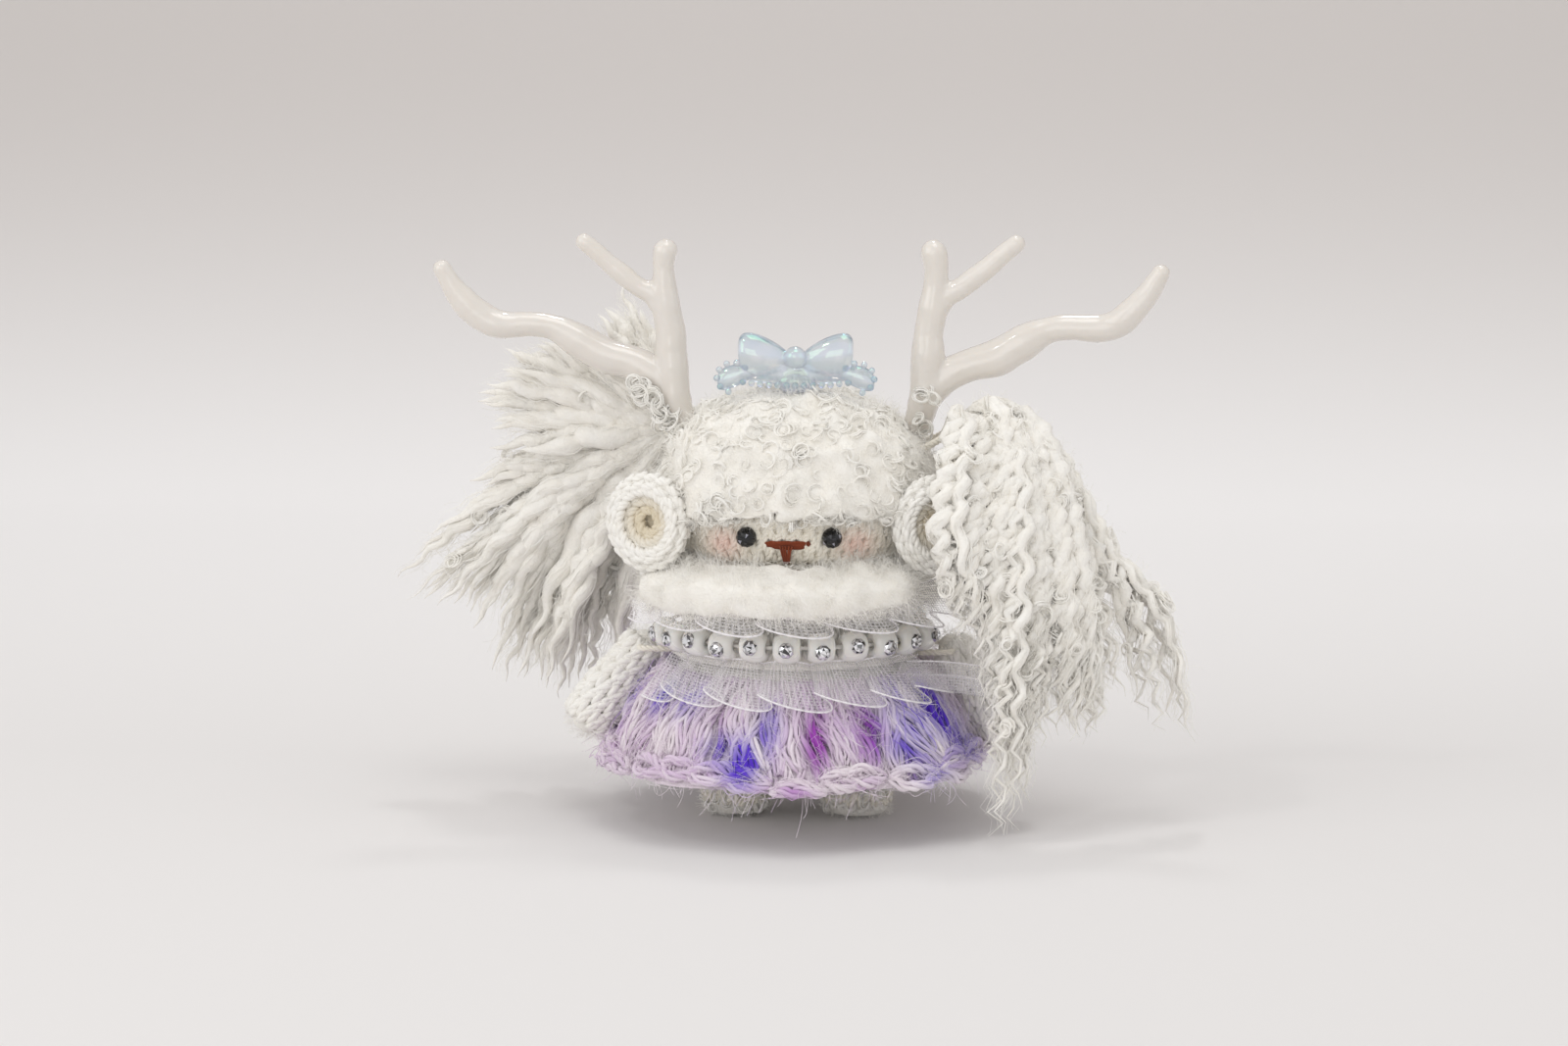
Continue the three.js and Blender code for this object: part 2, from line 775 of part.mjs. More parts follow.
function buildRuffles() {
  const out = collarRadius + collarThickness + gap + ribbonThickness;
  const upperTop = [out, collarCentre];
  const upperBottom = [out + upperFlare, collarCentre - upperFall];
  const upperAt = (s, t) => {
    const angle = (s - 0.5) * upperArc;
    const phase = 2 * Math.PI * upperFolds * s;
    return rufflePoint(angle, Math.max(0, t), phase, upperTop, upperBottom, upperFoldDepth);
  };
  addPart("upper_ruffle", sheet(upperAt, upperFolds * 6, 2, ribbonThickness, false), organza);
  addPart("lower_ruffle", sheet(lowerRufflePoint, lowerFolds * 7, 2, ribbonThickness, false), organza);
}

// The free end of the ribbon runs on from the lower ruffle, out to the right in front of the arm.
function buildRibbonTail() {
  const begin = 1 + gap / (lowerArc * lowerBottom[0]) + 0.004;
  const at = (s, t) => {
    const from = lowerRufflePoint(begin, 0.1 + 0.8 * t);
    const edge = lowerRufflePoint(begin, 0.5);
    const wave = 1.2 * Math.sin(5 * s);
    const to = new THREE.Vector3(edge.x + tailLength, edge.y + wave, edge.z - 0.6 + tailWidth * (0.5 - t));
    const point = from.lerp(to, s);
    point.z -= 2 * s * s;
    return point;
  };
  addPart("ribbon_tail", sheet(at, 12, 2, ribbonThickness, false), organza);
}

// One necklace bead at the front angle, its axis along the cord.
function beadShape(bore) {
  const half = beadLength / 2;
  return [
    [bore, -half],
    [beadRadius * 0.7, -half * 0.85],
    [beadRadius, -half * 0.2],
    [beadRadius, half * 0.2],
    [beadRadius * 0.7, half * 0.85],
    [bore, half],
    [bore, -half],
  ];
}

function beadGeometry(points, sides) {
  const profile = points.map(([radius, height]) => new THREE.Vector2(radius, height));
  const geometry = new THREE.LatheGeometry(profile, sides);
  geometry.rotateZ(Math.PI / 2);
  return geometry;
}

function stoneShape(grow) {
  const top = beadRadius + 0.35 + grow;
  const low = beadRadius - stoneDepth - grow;
  const radius = stoneRadius + grow;
  const points = [[0, low], [radius, low], [radius, top - 0.5], [radius * 0.6, top], [0, top]];
  const profile = points.map(([x, y]) => new THREE.Vector2(x, y));
  const geometry = new THREE.LatheGeometry(profile, 8);
  geometry.rotateX(Math.PI);
  return geometry;
}

// Places a shape made about the origin, front towards -Y, on the necklace at an angle.
function onNecklace(geometry, degrees, tilt) {
  const angle = THREE.MathUtils.degToRad(degrees);
  geometry.rotateX(THREE.MathUtils.degToRad(tilt));
  geometry.rotateZ(angle);
  geometry.translate(necklaceRadius * Math.sin(angle), -necklaceRadius * Math.cos(angle), necklaceHeight);
  return solidOf(geometry);
}

function buildNecklace() {
  const cord = revolve(ringProfile(necklaceRadius, necklaceHeight, cordRadius, cordRadius, 5), 30);
  const strand = [cord];
  const backBeads = frontBeads - 2;
  for (let i = 0; i < backBeads; i++) {
    const degrees = 180 + (i - (backBeads - 1) / 2) * beadPitch;
    const bead = new THREE.SphereGeometry(beadRadius, 6, 4);
    bead.scale(beadLength / (2 * beadRadius), 1, 1);
    strand.push(onNecklace(bead, degrees, 0));
  }
  addPart("necklace_back_strand", join(strand), milkyBead);
  for (let i = 0; i < frontBeads; i++) {
    const degrees = (i - (frontBeads - 1) / 2) * beadPitch;
    const tilt = beadTilt * Math.sin(2.4 * i + 0.5);
    const number = String(i + 1).padStart(2, "0");
    const bead = onNecklace(beadGeometry(beadShape(cordRadius + gap), 8), degrees, tilt);
    const pocket = onNecklace(stoneShape(gap), degrees, tilt);
    addPart(`bead_${number}`, bead.subtract(pocket), milkyBead);
    addPart(`stone_${number}`, onNecklace(stoneShape(0), degrees, tilt), clearStone);
  }
}

// Arms hang from a sewing loop that runs front to back through the shoulder.
function shoulderPoint(side) {
  return new THREE.Vector3(side * shoulderOut, -shoulderForward, shoulderHeight);
}

function shoulderLoop(side) {
  const centre = shoulderPoint(side);
  const half = shoulderRadius + gap + 1.2;
  const inside = side * yokeRadiusAt(shoulderHeight);
  const bend = 1.4;
  const points = [
    [inside - side * 2, centre.y - half, centre.z],
    [centre.x - side * bend, centre.y - half, centre.z],
    [centre.x, centre.y - half + bend, centre.z],
    [centre.x, centre.y, centre.z],
    [centre.x, centre.y + half - bend, centre.z],
    [centre.x - side * bend, centre.y + half, centre.z],
    [inside - side * 2, centre.y + half, centre.z],
  ];
  const loop = tube(pathOf(points), () => shoulderLoopRadius, evenly(14), 6);
  return loop.subtract(revolve([[0, yokeBottom], ...yokeProfile(gap), [0, yokeTop]], 24));
}

function buildArm(name, side) {
  const start = shoulderPoint(side);
  const hang = THREE.MathUtils.degToRad(armHang);
  const reach = (share) => [
    start.x + side * Math.cos(hang) * armLength * share,
    start.y - 2 * Math.max(0, share),
    start.z - Math.sin(hang) * armLength * share,
  ];
  const ends = shoulderRadius / armLength;
  const tip = 1 + handRadius / armLength;
  const whole = tip + ends;
  const law = through([
    [0, shoulderRadius],
    [(2 * ends) / whole, shoulderRadius],
    [0.55, 0.5 * (shoulderRadius + handRadius) + 0.5],
    [0.8, handRadius],
    [1, handRadius],
  ]);
  const path = pathOf([reach(-ends), reach(0.25), reach(0.6), reach(tip)]);
  const shape = tube(path, rounded(law, ends / whole, handRadius / armLength / whole), endwards(12), 12);
  const bore = tube(
    pathOf([
      [start.x, start.y - 12, start.z],
      [start.x, start.y, start.z],
      [start.x, start.y + 12, start.z],
    ]),
    () => shoulderLoopRadius + gap,
    evenly(2),
    10,
  );
  addPart(name, shape.subtract(bore), faceYarn);
}

// Pigtails: locks of wool tied in a knot that turns on a loop at the side of the cap.
function knotCentre(side) {
  const y = side < 0 ? leftKnotBack : rightKnotBack;
  const z = headCentre + knotHeight;
  const lift = knotRadius + gap;
  return new THREE.Vector3(side * (capReach(y, z) + lift * 0.84), y, z + lift * 0.54);
}

function pigtailLoop(side) {
  const centre = knotCentre(side);
  const half = knotRadius + gap + yarnRadius + 0.2;
  const inside = [centre.x - side * 9, centre.z - 5.8];
  const bend = 1.5;
  const points = [
    [inside[0], centre.y - half, inside[1]],
    [centre.x - side * bend, centre.y - half, centre.z - bend * 0.6],
    [centre.x, centre.y - half + bend, centre.z],
    [centre.x, centre.y, centre.z],
    [centre.x, centre.y + half - bend, centre.z],
    [centre.x - side * bend, centre.y + half, centre.z - bend * 0.6],
    [inside[0], centre.y + half, inside[1]],
  ];
  const loop = tube(pathOf(points), () => yarnRadius, evenly(14), 6);
  return loop.subtract(headBody(gap + capThickness + gap));
}

// One wavy lock from the knot through its points, swelling and then tapering to the tip.
function lockBody(points, thickness, phase) {
  const line = pathOf(points);
  const length = line.getLength();
  const steps = Math.max(7, Math.round(length / 6));
  const wavy = [];
  for (let i = 0; i <= steps; i++) {
    const t = i / steps;
    const point = line.getPointAt(t);
    const swing = lockWave * ease(0.1, 0.4, t);
    const turn = (2 * Math.PI * length * t) / lockWaveLength + phase;
    point.x += swing * Math.cos(turn);
    point.z += 0.6 * swing * Math.cos(turn);
    point.y += 0.7 * swing * Math.sin(turn);
    wavy.push([point.x, point.y, point.z]);
  }
  const law = through([
    [0, 0.75 * lockRadius],
    [0.25, lockRadius * thickness],
    [0.6, lockRadius * thickness],
    [0.9, 0.6 * lockRadius * thickness],
    [1, 0.22 * lockRadius],
  ]);
  return tube(pathOf(wavy), law, evenly(steps), 5);
}

// Lock routes from the knot, in millimetres out, back and up from it.
const leftLocks = [
  [0.9, [3, 3, 8], [6, 6, 21]],
  [1, [9, 5, 10], [19, 9, 16]],
  [1.1, [14, 3, 7], [32, 6, 10]],
  [1.1, [15, 9, 5], [35, 13, 1]],
  [1.1, [16, 3, -2], [35, 5, -9]],
  [1, [19, 9, -6], [42, 12, -22]],
  [0.7, [24, 6, -12], [43, 8, -26], [56.5, 8, -39]],
  [1.1, [17, 4, -12], [29, 6, -27], [36, 6, -45]],
  [1.1, [13, 10, -14], [25, 14, -34], [32, 13, -56]],
  [1.1, [9, 4, -15], [19, 6, -33], [25, 6, -50]],
  [1, [9, 12, -16], [18, 15, -36], [21, 15, -56]],
  [0.9, [4, 9, -14], [10, 12, -30], [12, 12, -46]],
];
const rightLocks = [
  [1, [9, -3, 5], [12.5, -12, -4], [10, -24, -20], [6, -26, -34], [5, -25, -45]],
  [1, [10, -6, 6], [14, -18, -10], [11, -28, -34], [8, -28, -55]],
  [0.9, [9, -6, 6], [15, -18, -8], [14, -28, -30], [12, -32, -54], [12, -33, -75.5]],
  [1.1, [11, -6, 5], [19, -19, -14], [20, -28, -40], [19, -28, -58]],
  [1.1, [12, -2, 4], [23, -14, -13], [26, -23, -36], [25, -24, -50]],
  [1.1, [14, -4, 3], [26, -14, -18], [30, -20, -42], [30, -20, -57]],
  [1, [13, -1, 2], [24, -8, -10], [28, -14, -26], [33, -16, -46]],
  [0.8, [14, -3, 4], [30, -7, -12], [42, -9, -30], [46.5, -9, -44], [52.2, -8, -59]],
];

function buildPigtail(name, side, locks) {
  const centre = knotCentre(side);
  const knot = new THREE.SphereGeometry(knotRadius, 12, 8);
  knot.translate(centre.x, centre.y, centre.z);
  const solids = [solidOf(knot)];
  locks.forEach(([thickness, ...route], i) => {
    const points = [[0, 0, 0], ...route];
    const placed = points.map(([out, back, up]) => [centre.x + side * out, centre.y + back, centre.z + up]);
    solids.push(lockBody(placed, thickness, i * 1.9));
  });
  const bore = tube(
    pathOf([
      [centre.x, centre.y - 14, centre.z],
      [centre.x, centre.y, centre.z],
      [centre.x, centre.y + 14, centre.z],
    ]),
    () => yarnRadius + gap,
    evenly(2),
    10,
  );
  addPart(name, filled(join(solids)).subtract(bore), wool);
}

buildBody();
buildLegs();
buildHead();
buildNose();
buildEar("left_ear", -1);
buildEar("right_ear", 1);
buildAntler("left_antler", -1);
buildAntler("right_antler", 1);
buildBow();
buildYoke();
buildSkirt();
buildCollar();
buildRuffles();
buildRibbonTail();
buildNecklace();
addPart("left_shoulder_loop", shoulderLoop(-1), thread);
addPart("right_shoulder_loop", shoulderLoop(1), thread);
buildArm("left_arm", -1);
buildArm("right_arm", 1);
addPart("left_pigtail_tie", pigtailLoop(-1), thread);
addPart("right_pigtail_tie", pigtailLoop(1), thread);
buildPigtail("left_pigtail", -1, leftLocks);
buildPigtail("right_pigtail", 1, rightLocks);

export default lamb;
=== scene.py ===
"""The looks of a crochet lamb toy: yarn, curly wool, mohair, organza, beads and moulded plastic.

Lengths inside the functions are millimetres. Meshes, the frame and the settings are in metres.
"""
import json
import math

import bmesh
import bpy
import numpy as np
from bpy.props import FloatProperty, FloatVectorProperty, IntProperty, PointerProperty
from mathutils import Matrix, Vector
from mathutils.bvhtree import BVHTree


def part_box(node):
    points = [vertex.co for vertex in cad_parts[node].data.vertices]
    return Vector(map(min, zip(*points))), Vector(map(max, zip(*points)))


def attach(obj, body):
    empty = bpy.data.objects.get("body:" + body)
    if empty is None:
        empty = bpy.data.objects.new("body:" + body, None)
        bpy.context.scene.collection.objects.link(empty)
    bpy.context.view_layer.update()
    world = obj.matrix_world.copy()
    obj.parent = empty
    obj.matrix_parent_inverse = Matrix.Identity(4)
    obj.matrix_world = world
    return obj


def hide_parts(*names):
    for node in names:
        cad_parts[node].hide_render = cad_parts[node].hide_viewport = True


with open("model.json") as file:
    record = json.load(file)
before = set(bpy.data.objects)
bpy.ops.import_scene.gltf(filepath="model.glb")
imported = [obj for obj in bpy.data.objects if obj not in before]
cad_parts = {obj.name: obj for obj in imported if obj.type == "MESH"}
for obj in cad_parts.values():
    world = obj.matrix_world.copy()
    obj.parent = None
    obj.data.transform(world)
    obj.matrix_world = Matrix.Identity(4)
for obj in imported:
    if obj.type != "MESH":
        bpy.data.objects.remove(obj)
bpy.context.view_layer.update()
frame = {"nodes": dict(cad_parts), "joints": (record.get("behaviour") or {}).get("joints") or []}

bl_info = {
    "name": "Crochet Lamb",
    "version": (1, 0, 0),
    "blender": (4, 5, 0),
    "location": "View3D > Sidebar > Lamb",
    "description": "Dresses a crochet lamb in yarn, wool, mohair, organza and beads",
    "category": "Add Mesh",
}

MM = 0.001
BAKE_MAP = "OFBake"
WEAVE_MAP = "Weave"
UP = np.array([0.0, 0.0, 1.0])
FRONT = np.array([0.0, -1.0, 0.0])
SIDES = ((-1, "left"), (1, "right"))
FULL_TURN = 2 * np.pi
ANY_PHASE = 6.28  # random phases are drawn between 0 and this, about one turn
PIECE_TRIANGLES = 198000  # a piece of strands is parted before it grows larger than this


def srgb(red, green, blue):
    """A colour as seen, in steps of 255, turned into the linear colour that shaders take."""
    seen = np.array([red, green, blue]) / 255
    return tuple(np.where(seen < 0.04045, seen / 12.92, ((seen + 0.055) / 1.055) ** 2.4))


# Numbers and lines


def unit(ways):
    return ways / np.maximum(np.linalg.norm(ways, axis=-1, keepdims=True), 1e-9)


def ease(low, high, value):
    share = np.clip((value - low) / (high - low), 0, 1)
    return share * share * (3 - 2 * share)


def corners_mm(node):
    """Lowest and highest corner of a node of the frame, in millimetres."""
    low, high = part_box(node)
    return np.array(low) / MM, np.array(high) / MM


def joint_mm(name):
    """Where a joint of the frame turns, in millimetres."""
    joint = next(j for j in frame["joints"] if j["name"] == name)
    return np.array(joint["pos_m"]) / MM


def smooth_line(points, count):
    """Even steps along a smooth curve through the points, and the curve's length."""
    given = np.asarray(points, float)
    ends = np.vstack([2 * given[0] - given[1], given, 2 * given[-1] - given[-2]])
    share = np.linspace(0, 1, 24, endpoint=False)[:, None]
    fine = []
    for a, b, c, d in zip(ends, ends[1:], ends[2:], ends[3:]):
        bent = (2 * a - 5 * b + 4 * c - d) * share**2 + (3 * b - a - 3 * c + d) * share**3
        fine.append(0.5 * (2 * b + (c - a) * share + bent))
    fine = np.vstack([*fine, given[-1:]])
    run = np.concatenate([[0], np.cumsum(np.linalg.norm(np.diff(fine, axis=0), axis=1))])
    at = np.linspace(0, run[-1], count)
    return np.stack([np.interp(at, run, fine[:, k]) for k in range(3)], axis=1), run[-1]


def side_ways(lines):
    """Two unit directions square to each line, carried along it without twist."""
    along = unit(np.gradient(lines, axis=1))
    first = np.zeros_like(lines)
    guide = np.where(np.abs(along[:, 0, 2:3]) < 0.9, [[0, 0, 1]], [[1, 0, 0]])
    first[:, 0] = unit(np.cross(along[:, 0], guide))
    for step in range(1, lines.shape[1]):
        carried = first[:, step - 1]
        drift = (carried * along[:, step]).sum(-1, keepdims=True)
        first[:, step] = unit(carried - drift * along[:, step])
    return first, np.cross(along, first)


def plied(lines, radius, plies, turns):
    """Each line becomes several plies twisted round it."""
    first, second = side_ways(lines)
    share = np.linspace(0, 1, lines.shape[1])
    made = []
    for ply in range(plies):
        turn = FULL_TURN * (turns * share + ply / plies)
        swing = first * np.cos(turn)[None, :, None] + second * np.sin(turn)[None, :, None]
        made.append(lines + radius * swing)
    return np.concatenate(made)


def fibres(roots, normals, length, spread, bend, rng, steps=5, lean=(0, 0, 0)):
    """Short curved hairs that leave the roots along the normals."""
    count = len(roots)
    way = unit(normals + spread * rng.normal(size=(count, 3)) + np.asarray(lean))
    curl = bend * rng.normal(size=(count, 3))
    stride = (length * rng.uniform(0.55, 1.15, size=(count, 1))) / (steps - 1)
    points = [roots - 0.25 * normals]
    for _ in range(1, steps):
        points.append(points[-1] + way * stride)
        way = unit(way + curl / (steps - 1))
    return np.stack(points, axis=1)


def curls(roots, normals, radius, turns, strands, rng, steps=14, looseness=0.16, tilt=0.5):
    """Small wool rings that lie on the roots, each a bundle of strands."""
    count = len(roots)
    facing = unit(normals + tilt * rng.normal(size=(count, 3)))
    across = unit(np.cross(facing, rng.normal(size=(count, 3))))
    other = np.cross(facing, across)
    ring = radius * rng.uniform(0.7, 1.25, size=(count, 1, 1))
    share = np.linspace(0, 1, steps)[None, :, None]
    turn = rng.uniform(0, FULL_TURN, size=(count, 1, 1)) + FULL_TURN * turns * share
    centre = roots[:, None] + 0.35 * ring * normals[:, None]
    round_it = np.cos(turn) * across[:, None] + np.sin(turn) * other[:, None]
    lines = centre + ring * ((0.75 + 0.35 * share) * round_it + 0.6 * (share - 0.5) * facing[:, None])
    bundle = []
    for _ in range(strands):
        shift = looseness * rng.normal(size=(count, 1, 3))
        swell = 1 + 0.09 * rng.normal(size=(count, 1, 1))
        bundle.append(centre + (lines - centre) * swell + shift)
    return np.concatenate(bundle)


def tufts(roots, normals, hairs, length, width, rng, lean=(0, 0, 0), spread=0.5, bend=1.2, steps=6):
    """Hairs that keep together in tufts, one tuft on each root."""
    way = unit(normals + spread * rng.normal(size=normals.shape) + np.asarray(lean))
    shift = width * rng.normal(size=(len(roots) * hairs, 3))
    roots, way = np.repeat(roots, hairs, axis=0), np.repeat(way, hairs, axis=0)
    return fibres(roots + shift, way, length, 0.22, bend, rng, steps)


def above_floor(lines, height):
    """Lifts what lies lower than a height above the floor."""
    lines[..., 2] = np.maximum(lines[..., 2], height)


def uneven(tone, count, rng):
    """A tone for each strand, a little darker at random."""
    return np.array(tone) * rng.uniform(0.97, 1.0, size=(count, 1))


# Meshes


def link(name, mesh):
    obj = bpy.data.objects.new(name, mesh)
    bpy.context.scene.collection.objects.link(obj)
    return obj


def paint(mesh, tint):
    """Keeps a colour for every point of a mesh, which the finishes read."""
    layer = mesh.color_attributes.new("tint", "FLOAT_COLOR", "POINT")
    colour = np.ones((len(mesh.vertices), 4), np.float32)
    colour[:, :3] = tint
    layer.data.foreach_set("color", colour.ravel())


def mesh_of(name, points, faces):
    mesh = bpy.data.meshes.new(name)
    mesh.from_pydata((np.asarray(points, float) * MM).tolist(), [], np.asarray(faces).tolist())
    mesh.polygons.foreach_set("use_smooth", [True] * len(mesh.polygons))
    mesh.update()
    return mesh


def mesh_from(name, shape):
    """The mesh of a bmesh, which is freed."""
    mesh = bpy.data.meshes.new(name)
    shape.to_mesh(mesh)
    shape.free()
    return mesh


def strand_object(name, lines, radii, tint, sides=3):
    """Closed tubes along many lines, in one mesh with its own map for baking. Fine ones stay faceted.

    The tint is one colour, or one for each line or for each point of the lines.
    """
    count, steps = lines.shape[:2]
    radii = np.broadcast_to(radii, (count, steps))
    first, second = side_ways(lines)
    angle = FULL_TURN * np.arange(sides) / sides
    ring = first[:, :, None] * np.cos(angle)[:, None] + second[:, :, None] * np.sin(angle)[:, None]
    points = lines[:, :, None] + radii[:, :, None, None] * ring

    step, side = np.meshgrid(np.arange(steps - 1), np.arange(sides), indexing="ij")
    after = (side + 1) % sides
    quad = np.stack(
        [step * sides + side, step * sides + after, (step + 1) * sides + after, (step + 1) * sides + side],
        axis=-1,
    ).reshape(-1, 4)
    begin = np.arange(sides)[::-1]
    end = (steps - 1) * sides + np.arange(sides)
    base = (np.arange(count) * steps * sides)[:, None]
    quads = (base[:, :, None] + quad).reshape(-1, 4)
    caps = np.concatenate([base + begin, base + end], axis=1).reshape(-1, sides)

    mesh = bpy.data.meshes.new(name)
    mesh.vertices.add(count * steps * sides)
    mesh.vertices.foreach_set("co", (points * MM).astype(np.float32).ravel())
    corner = np.concatenate([quads.ravel(), caps.ravel()])
    mesh.loops.add(len(corner))
    mesh.loops.foreach_set("vertex_index", corner.astype(np.int32))
    totals = np.concatenate([np.full(len(quads), 4), np.full(len(caps), sides)])
    mesh.polygons.add(len(totals))
    mesh.polygons.foreach_set("loop_start", np.concatenate([[0], np.cumsum(totals)[:-1]]).astype(np.int32))
    mesh.polygons.foreach_set("loop_total", totals.astype(np.int32))
    mesh.polygons.foreach_set("use_smooth", np.full(len(totals), sides > 4))
    mesh.update(calc_edges=True)

    tint = np.asarray(tint, float)
    shade = np.broadcast_to(tint if tint.ndim == 1 else tint.reshape(count, -1, 3), (count, steps, 3))
    paint(mesh, np.repeat(shade.reshape(-1, 3), sides, axis=0))
    strand_map(mesh, count, steps, sides, step, side)
    return link(name, mesh)


def strand_map(mesh, count, steps, sides, step, side):
    """A bake map in which every strand has a cell of its own, with a band at each end for its caps."""
    grid = math.ceil(math.sqrt(count))
    cell = np.stack([np.arange(count) % grid, np.arange(count) // grid], axis=-1)[:, None]
    low, high = 0.12, 0.88
    along = low + (high - low) * np.stack([step, step, step + 1, step + 1], axis=-1) / (steps - 1)
    across = 0.05 + 0.9 * np.stack([side, side + 1, side + 1, side], axis=-1) / sides
    wall = np.stack([along, across], axis=-1).reshape(1, -1, 2)
    angle = FULL_TURN * np.arange(sides) / sides
    disc = np.stack([0.04 * np.cos(angle), 0.4 * np.sin(angle)], axis=-1)
    caps = np.concatenate([disc[::-1] + [0.06, 0.5], disc + [0.94, 0.5]])[None]
    flat = np.concatenate([(cell + wall).reshape(-1, 2), (cell + caps).reshape(-1, 2)]) / grid
    layer = mesh.uv_layers.new(name=BAKE_MAP)
    layer.data.foreach_set("uv", flat.astype(np.float32).ravel())


def grid_object(name, points):
    """A sheet over a grid of points, with a bake map and a map that measures it in millimetres."""
    rows, columns = points.shape[:2]
    row, column = np.meshgrid(np.arange(rows - 1), np.arange(columns - 1), indexing="ij")
    first, after = row * columns + column, row * columns + column + 1
    faces = np.stack([first, after, after + columns, first + columns], axis=-1)
    mesh = mesh_of(name, points.reshape(-1, 3), faces.reshape(-1, 4))
    across = np.stack([row, row, row + 1, row + 1], axis=-1)
    along = np.stack([column, column + 1, column + 1, column], axis=-1)
    width = np.linalg.norm(np.diff(points, axis=0), axis=-1).sum(0).mean()
    length = np.linalg.norm(np.diff(points, axis=1), axis=-1).sum(1).mean()
    flat = np.stack([along / (columns - 1), across / (rows - 1)], axis=-1).reshape(-1, 2)
    for map_name, scale in ((BAKE_MAP, (1, 1)), (WEAVE_MAP, (length, width))):
        layer = mesh.uv_layers.new(name=map_name)
        layer.data.foreach_set("uv", (flat * scale).astype(np.float32).ravel())
    return link(name, mesh)


def facets(name, shape):
    """A mesh of flat facets, parted at their edges so that each can have a tone of its own."""
    bmesh.ops.split_edges(shape, edges=shape.edges)
    return mesh_from(name, shape)


def paint_faces(mesh, facet_reflections):
    """Keeps a colour for every facet of a mesh, such as a painted glint or reflection."""
    colour = np.ones((len(mesh.vertices), 3))
    for face, tone in zip(mesh.polygons, facet_reflections):
        colour[list(face.vertices)] = tone
    paint(mesh, colour)


def evaluated(obj):
    """Applies an object's modifiers to its mesh."""
    depsgraph = bpy.context.evaluated_depsgraph_get()
    mesh = bpy.data.meshes.new_from_object(obj.evaluated_get(depsgraph))
    obj.modifiers.clear()
    obj.data = mesh
    mesh.name = obj.name
    return obj


def remeshed(obj, voxel, smoothing, inset=0.0):
    """One smooth skin over an object's closed shapes, drawn in by an inset."""
    remesh = obj.modifiers.new("Skin", "REMESH")
    remesh.mode = "VOXEL"
    remesh.voxel_size = voxel * MM
    remesh.use_smooth_shade = True
    smooth = obj.modifiers.new("Soften", "SMOOTH")
    smooth.iterations = smoothing
    draw_in = obj.modifiers.new("Inset", "DISPLACE")
    draw_in.strength = -inset * MM
    draw_in.mid_level = 0.0
    return evaluated(obj)


def soft_copy(name, node, voxel, smoothing, inset):
    """A smooth copy of a node of the frame."""
    obj = link(name, frame["nodes"][node].data.copy())
    obj.data.materials.clear()
    return remeshed(obj, voxel, smoothing, inset)


def points_of(obj):
    points = np.empty(len(obj.data.vertices) * 3, np.float32)
    obj.data.vertices.foreach_get("co", points)
    return points.reshape(-1, 3).astype(float) / MM


def normals_of(obj):
    normals = np.empty(len(obj.data.vertices) * 3, np.float32)
    obj.data.vertex_normals.foreach_get("vector", normals)
    return normals.reshape(-1, 3).astype(float)


def move_points(obj, points):
    obj.data.vertices.foreach_set("co", (points * MM).astype(np.float32).ravel())
    obj.data.update()


def lumpy(obj, count, height, width, rng):
    """Raises soft lumps on a piece."""
    points, normals = points_of(obj), normals_of(obj)
    centres = points[rng.integers(len(points), size=count)]
    rise = np.zeros(len(points))
    for centre, strength in zip(centres, rng.uniform(-0.6, 1, size=count)):
        away = ((points - centre) ** 2).sum(1)
        rise += strength * np.exp(-away / (2 * width * width))
    move_points(obj, points + height * np.clip(rise, -1.5, 1.5)[:, None] * normals)


def scatter(obj, count, rng, keep=None):
    """Points spread evenly over a piece's faces, with their normals."""
    mesh = obj.data
    mesh.calc_loop_triangles()
    corner = np.empty(len(mesh.loop_triangles) * 3, np.int32)
    mesh.loop_triangles.foreach_get("vertices", corner)
    corner = corner.reshape(-1, 3)
    points, normals = points_of(obj), normals_of(obj)
    middle = points[corner].mean(1)
    facing = unit(normals[corner].sum(1))
    if keep is not None:
        corner = corner[keep(middle, facing)]
    a, b, c = (points[corner[:, k]] for k in range(3))
    area = np.linalg.norm(np.cross(b - a, c - a), axis=1)
    chosen = corner[rng.choice(len(corner), size=count, p=area / area.sum())]
    share = rng.dirichlet((1, 1, 1), size=count)[..., None]
    return (points[chosen] * share).sum(1), unit((normals[chosen] * share).sum(1))


def clear_of_features(lines):
    """The lines that cross neither the eyes nor the nose, as seen from the front."""
    keep = np.ones(len(lines), bool)
    below, above = [0.5, 9.0, 0.3], [0.5, 1.5, 0.4]
    for node in ("left_eye_bead", "right_eye_bead", "nose_stitches"):
        low, high = corners_mm(node)
        inside = (lines > low - below) & (lines < high + above)
        keep &= ~inside.all(-1).any(-1)
    return lines[keep]


class Skin:
    """The outer skin of a piece, found by looking at it from outside."""

    def __init__(self, obj):
        faces = [tuple(face.vertices) for face in obj.data.polygons]
        self.tree = BVHTree.FromPolygons([Vector(p) for p in points_of(obj)], faces)

    def seen(self, start, way):
        """The first point and normal on a ray, or None."""
        place, normal, _, _ = self.tree.ray_cast(Vector(start), Vector(way))
        if place is None:
            return None
        return np.array(place), np.array(normal)

    def nearest(self, point):
        """The point and normal of the skin nearest to a place."""
        place, normal, _, _ = self.tree.find_nearest(Vector(point))
        return np.array(place), np.array(normal)

    def around(self, foot, axis, front):
        """A function of height along an axis and angle from the front, seen from the side."""
        side, far = np.cross(axis, front), 90.0

        def at(height, angle):
            outward = np.cos(angle) * front + np.sin(angle) * side
            return self.seen(foot + height * axis + far * outward, -outward)

        return at


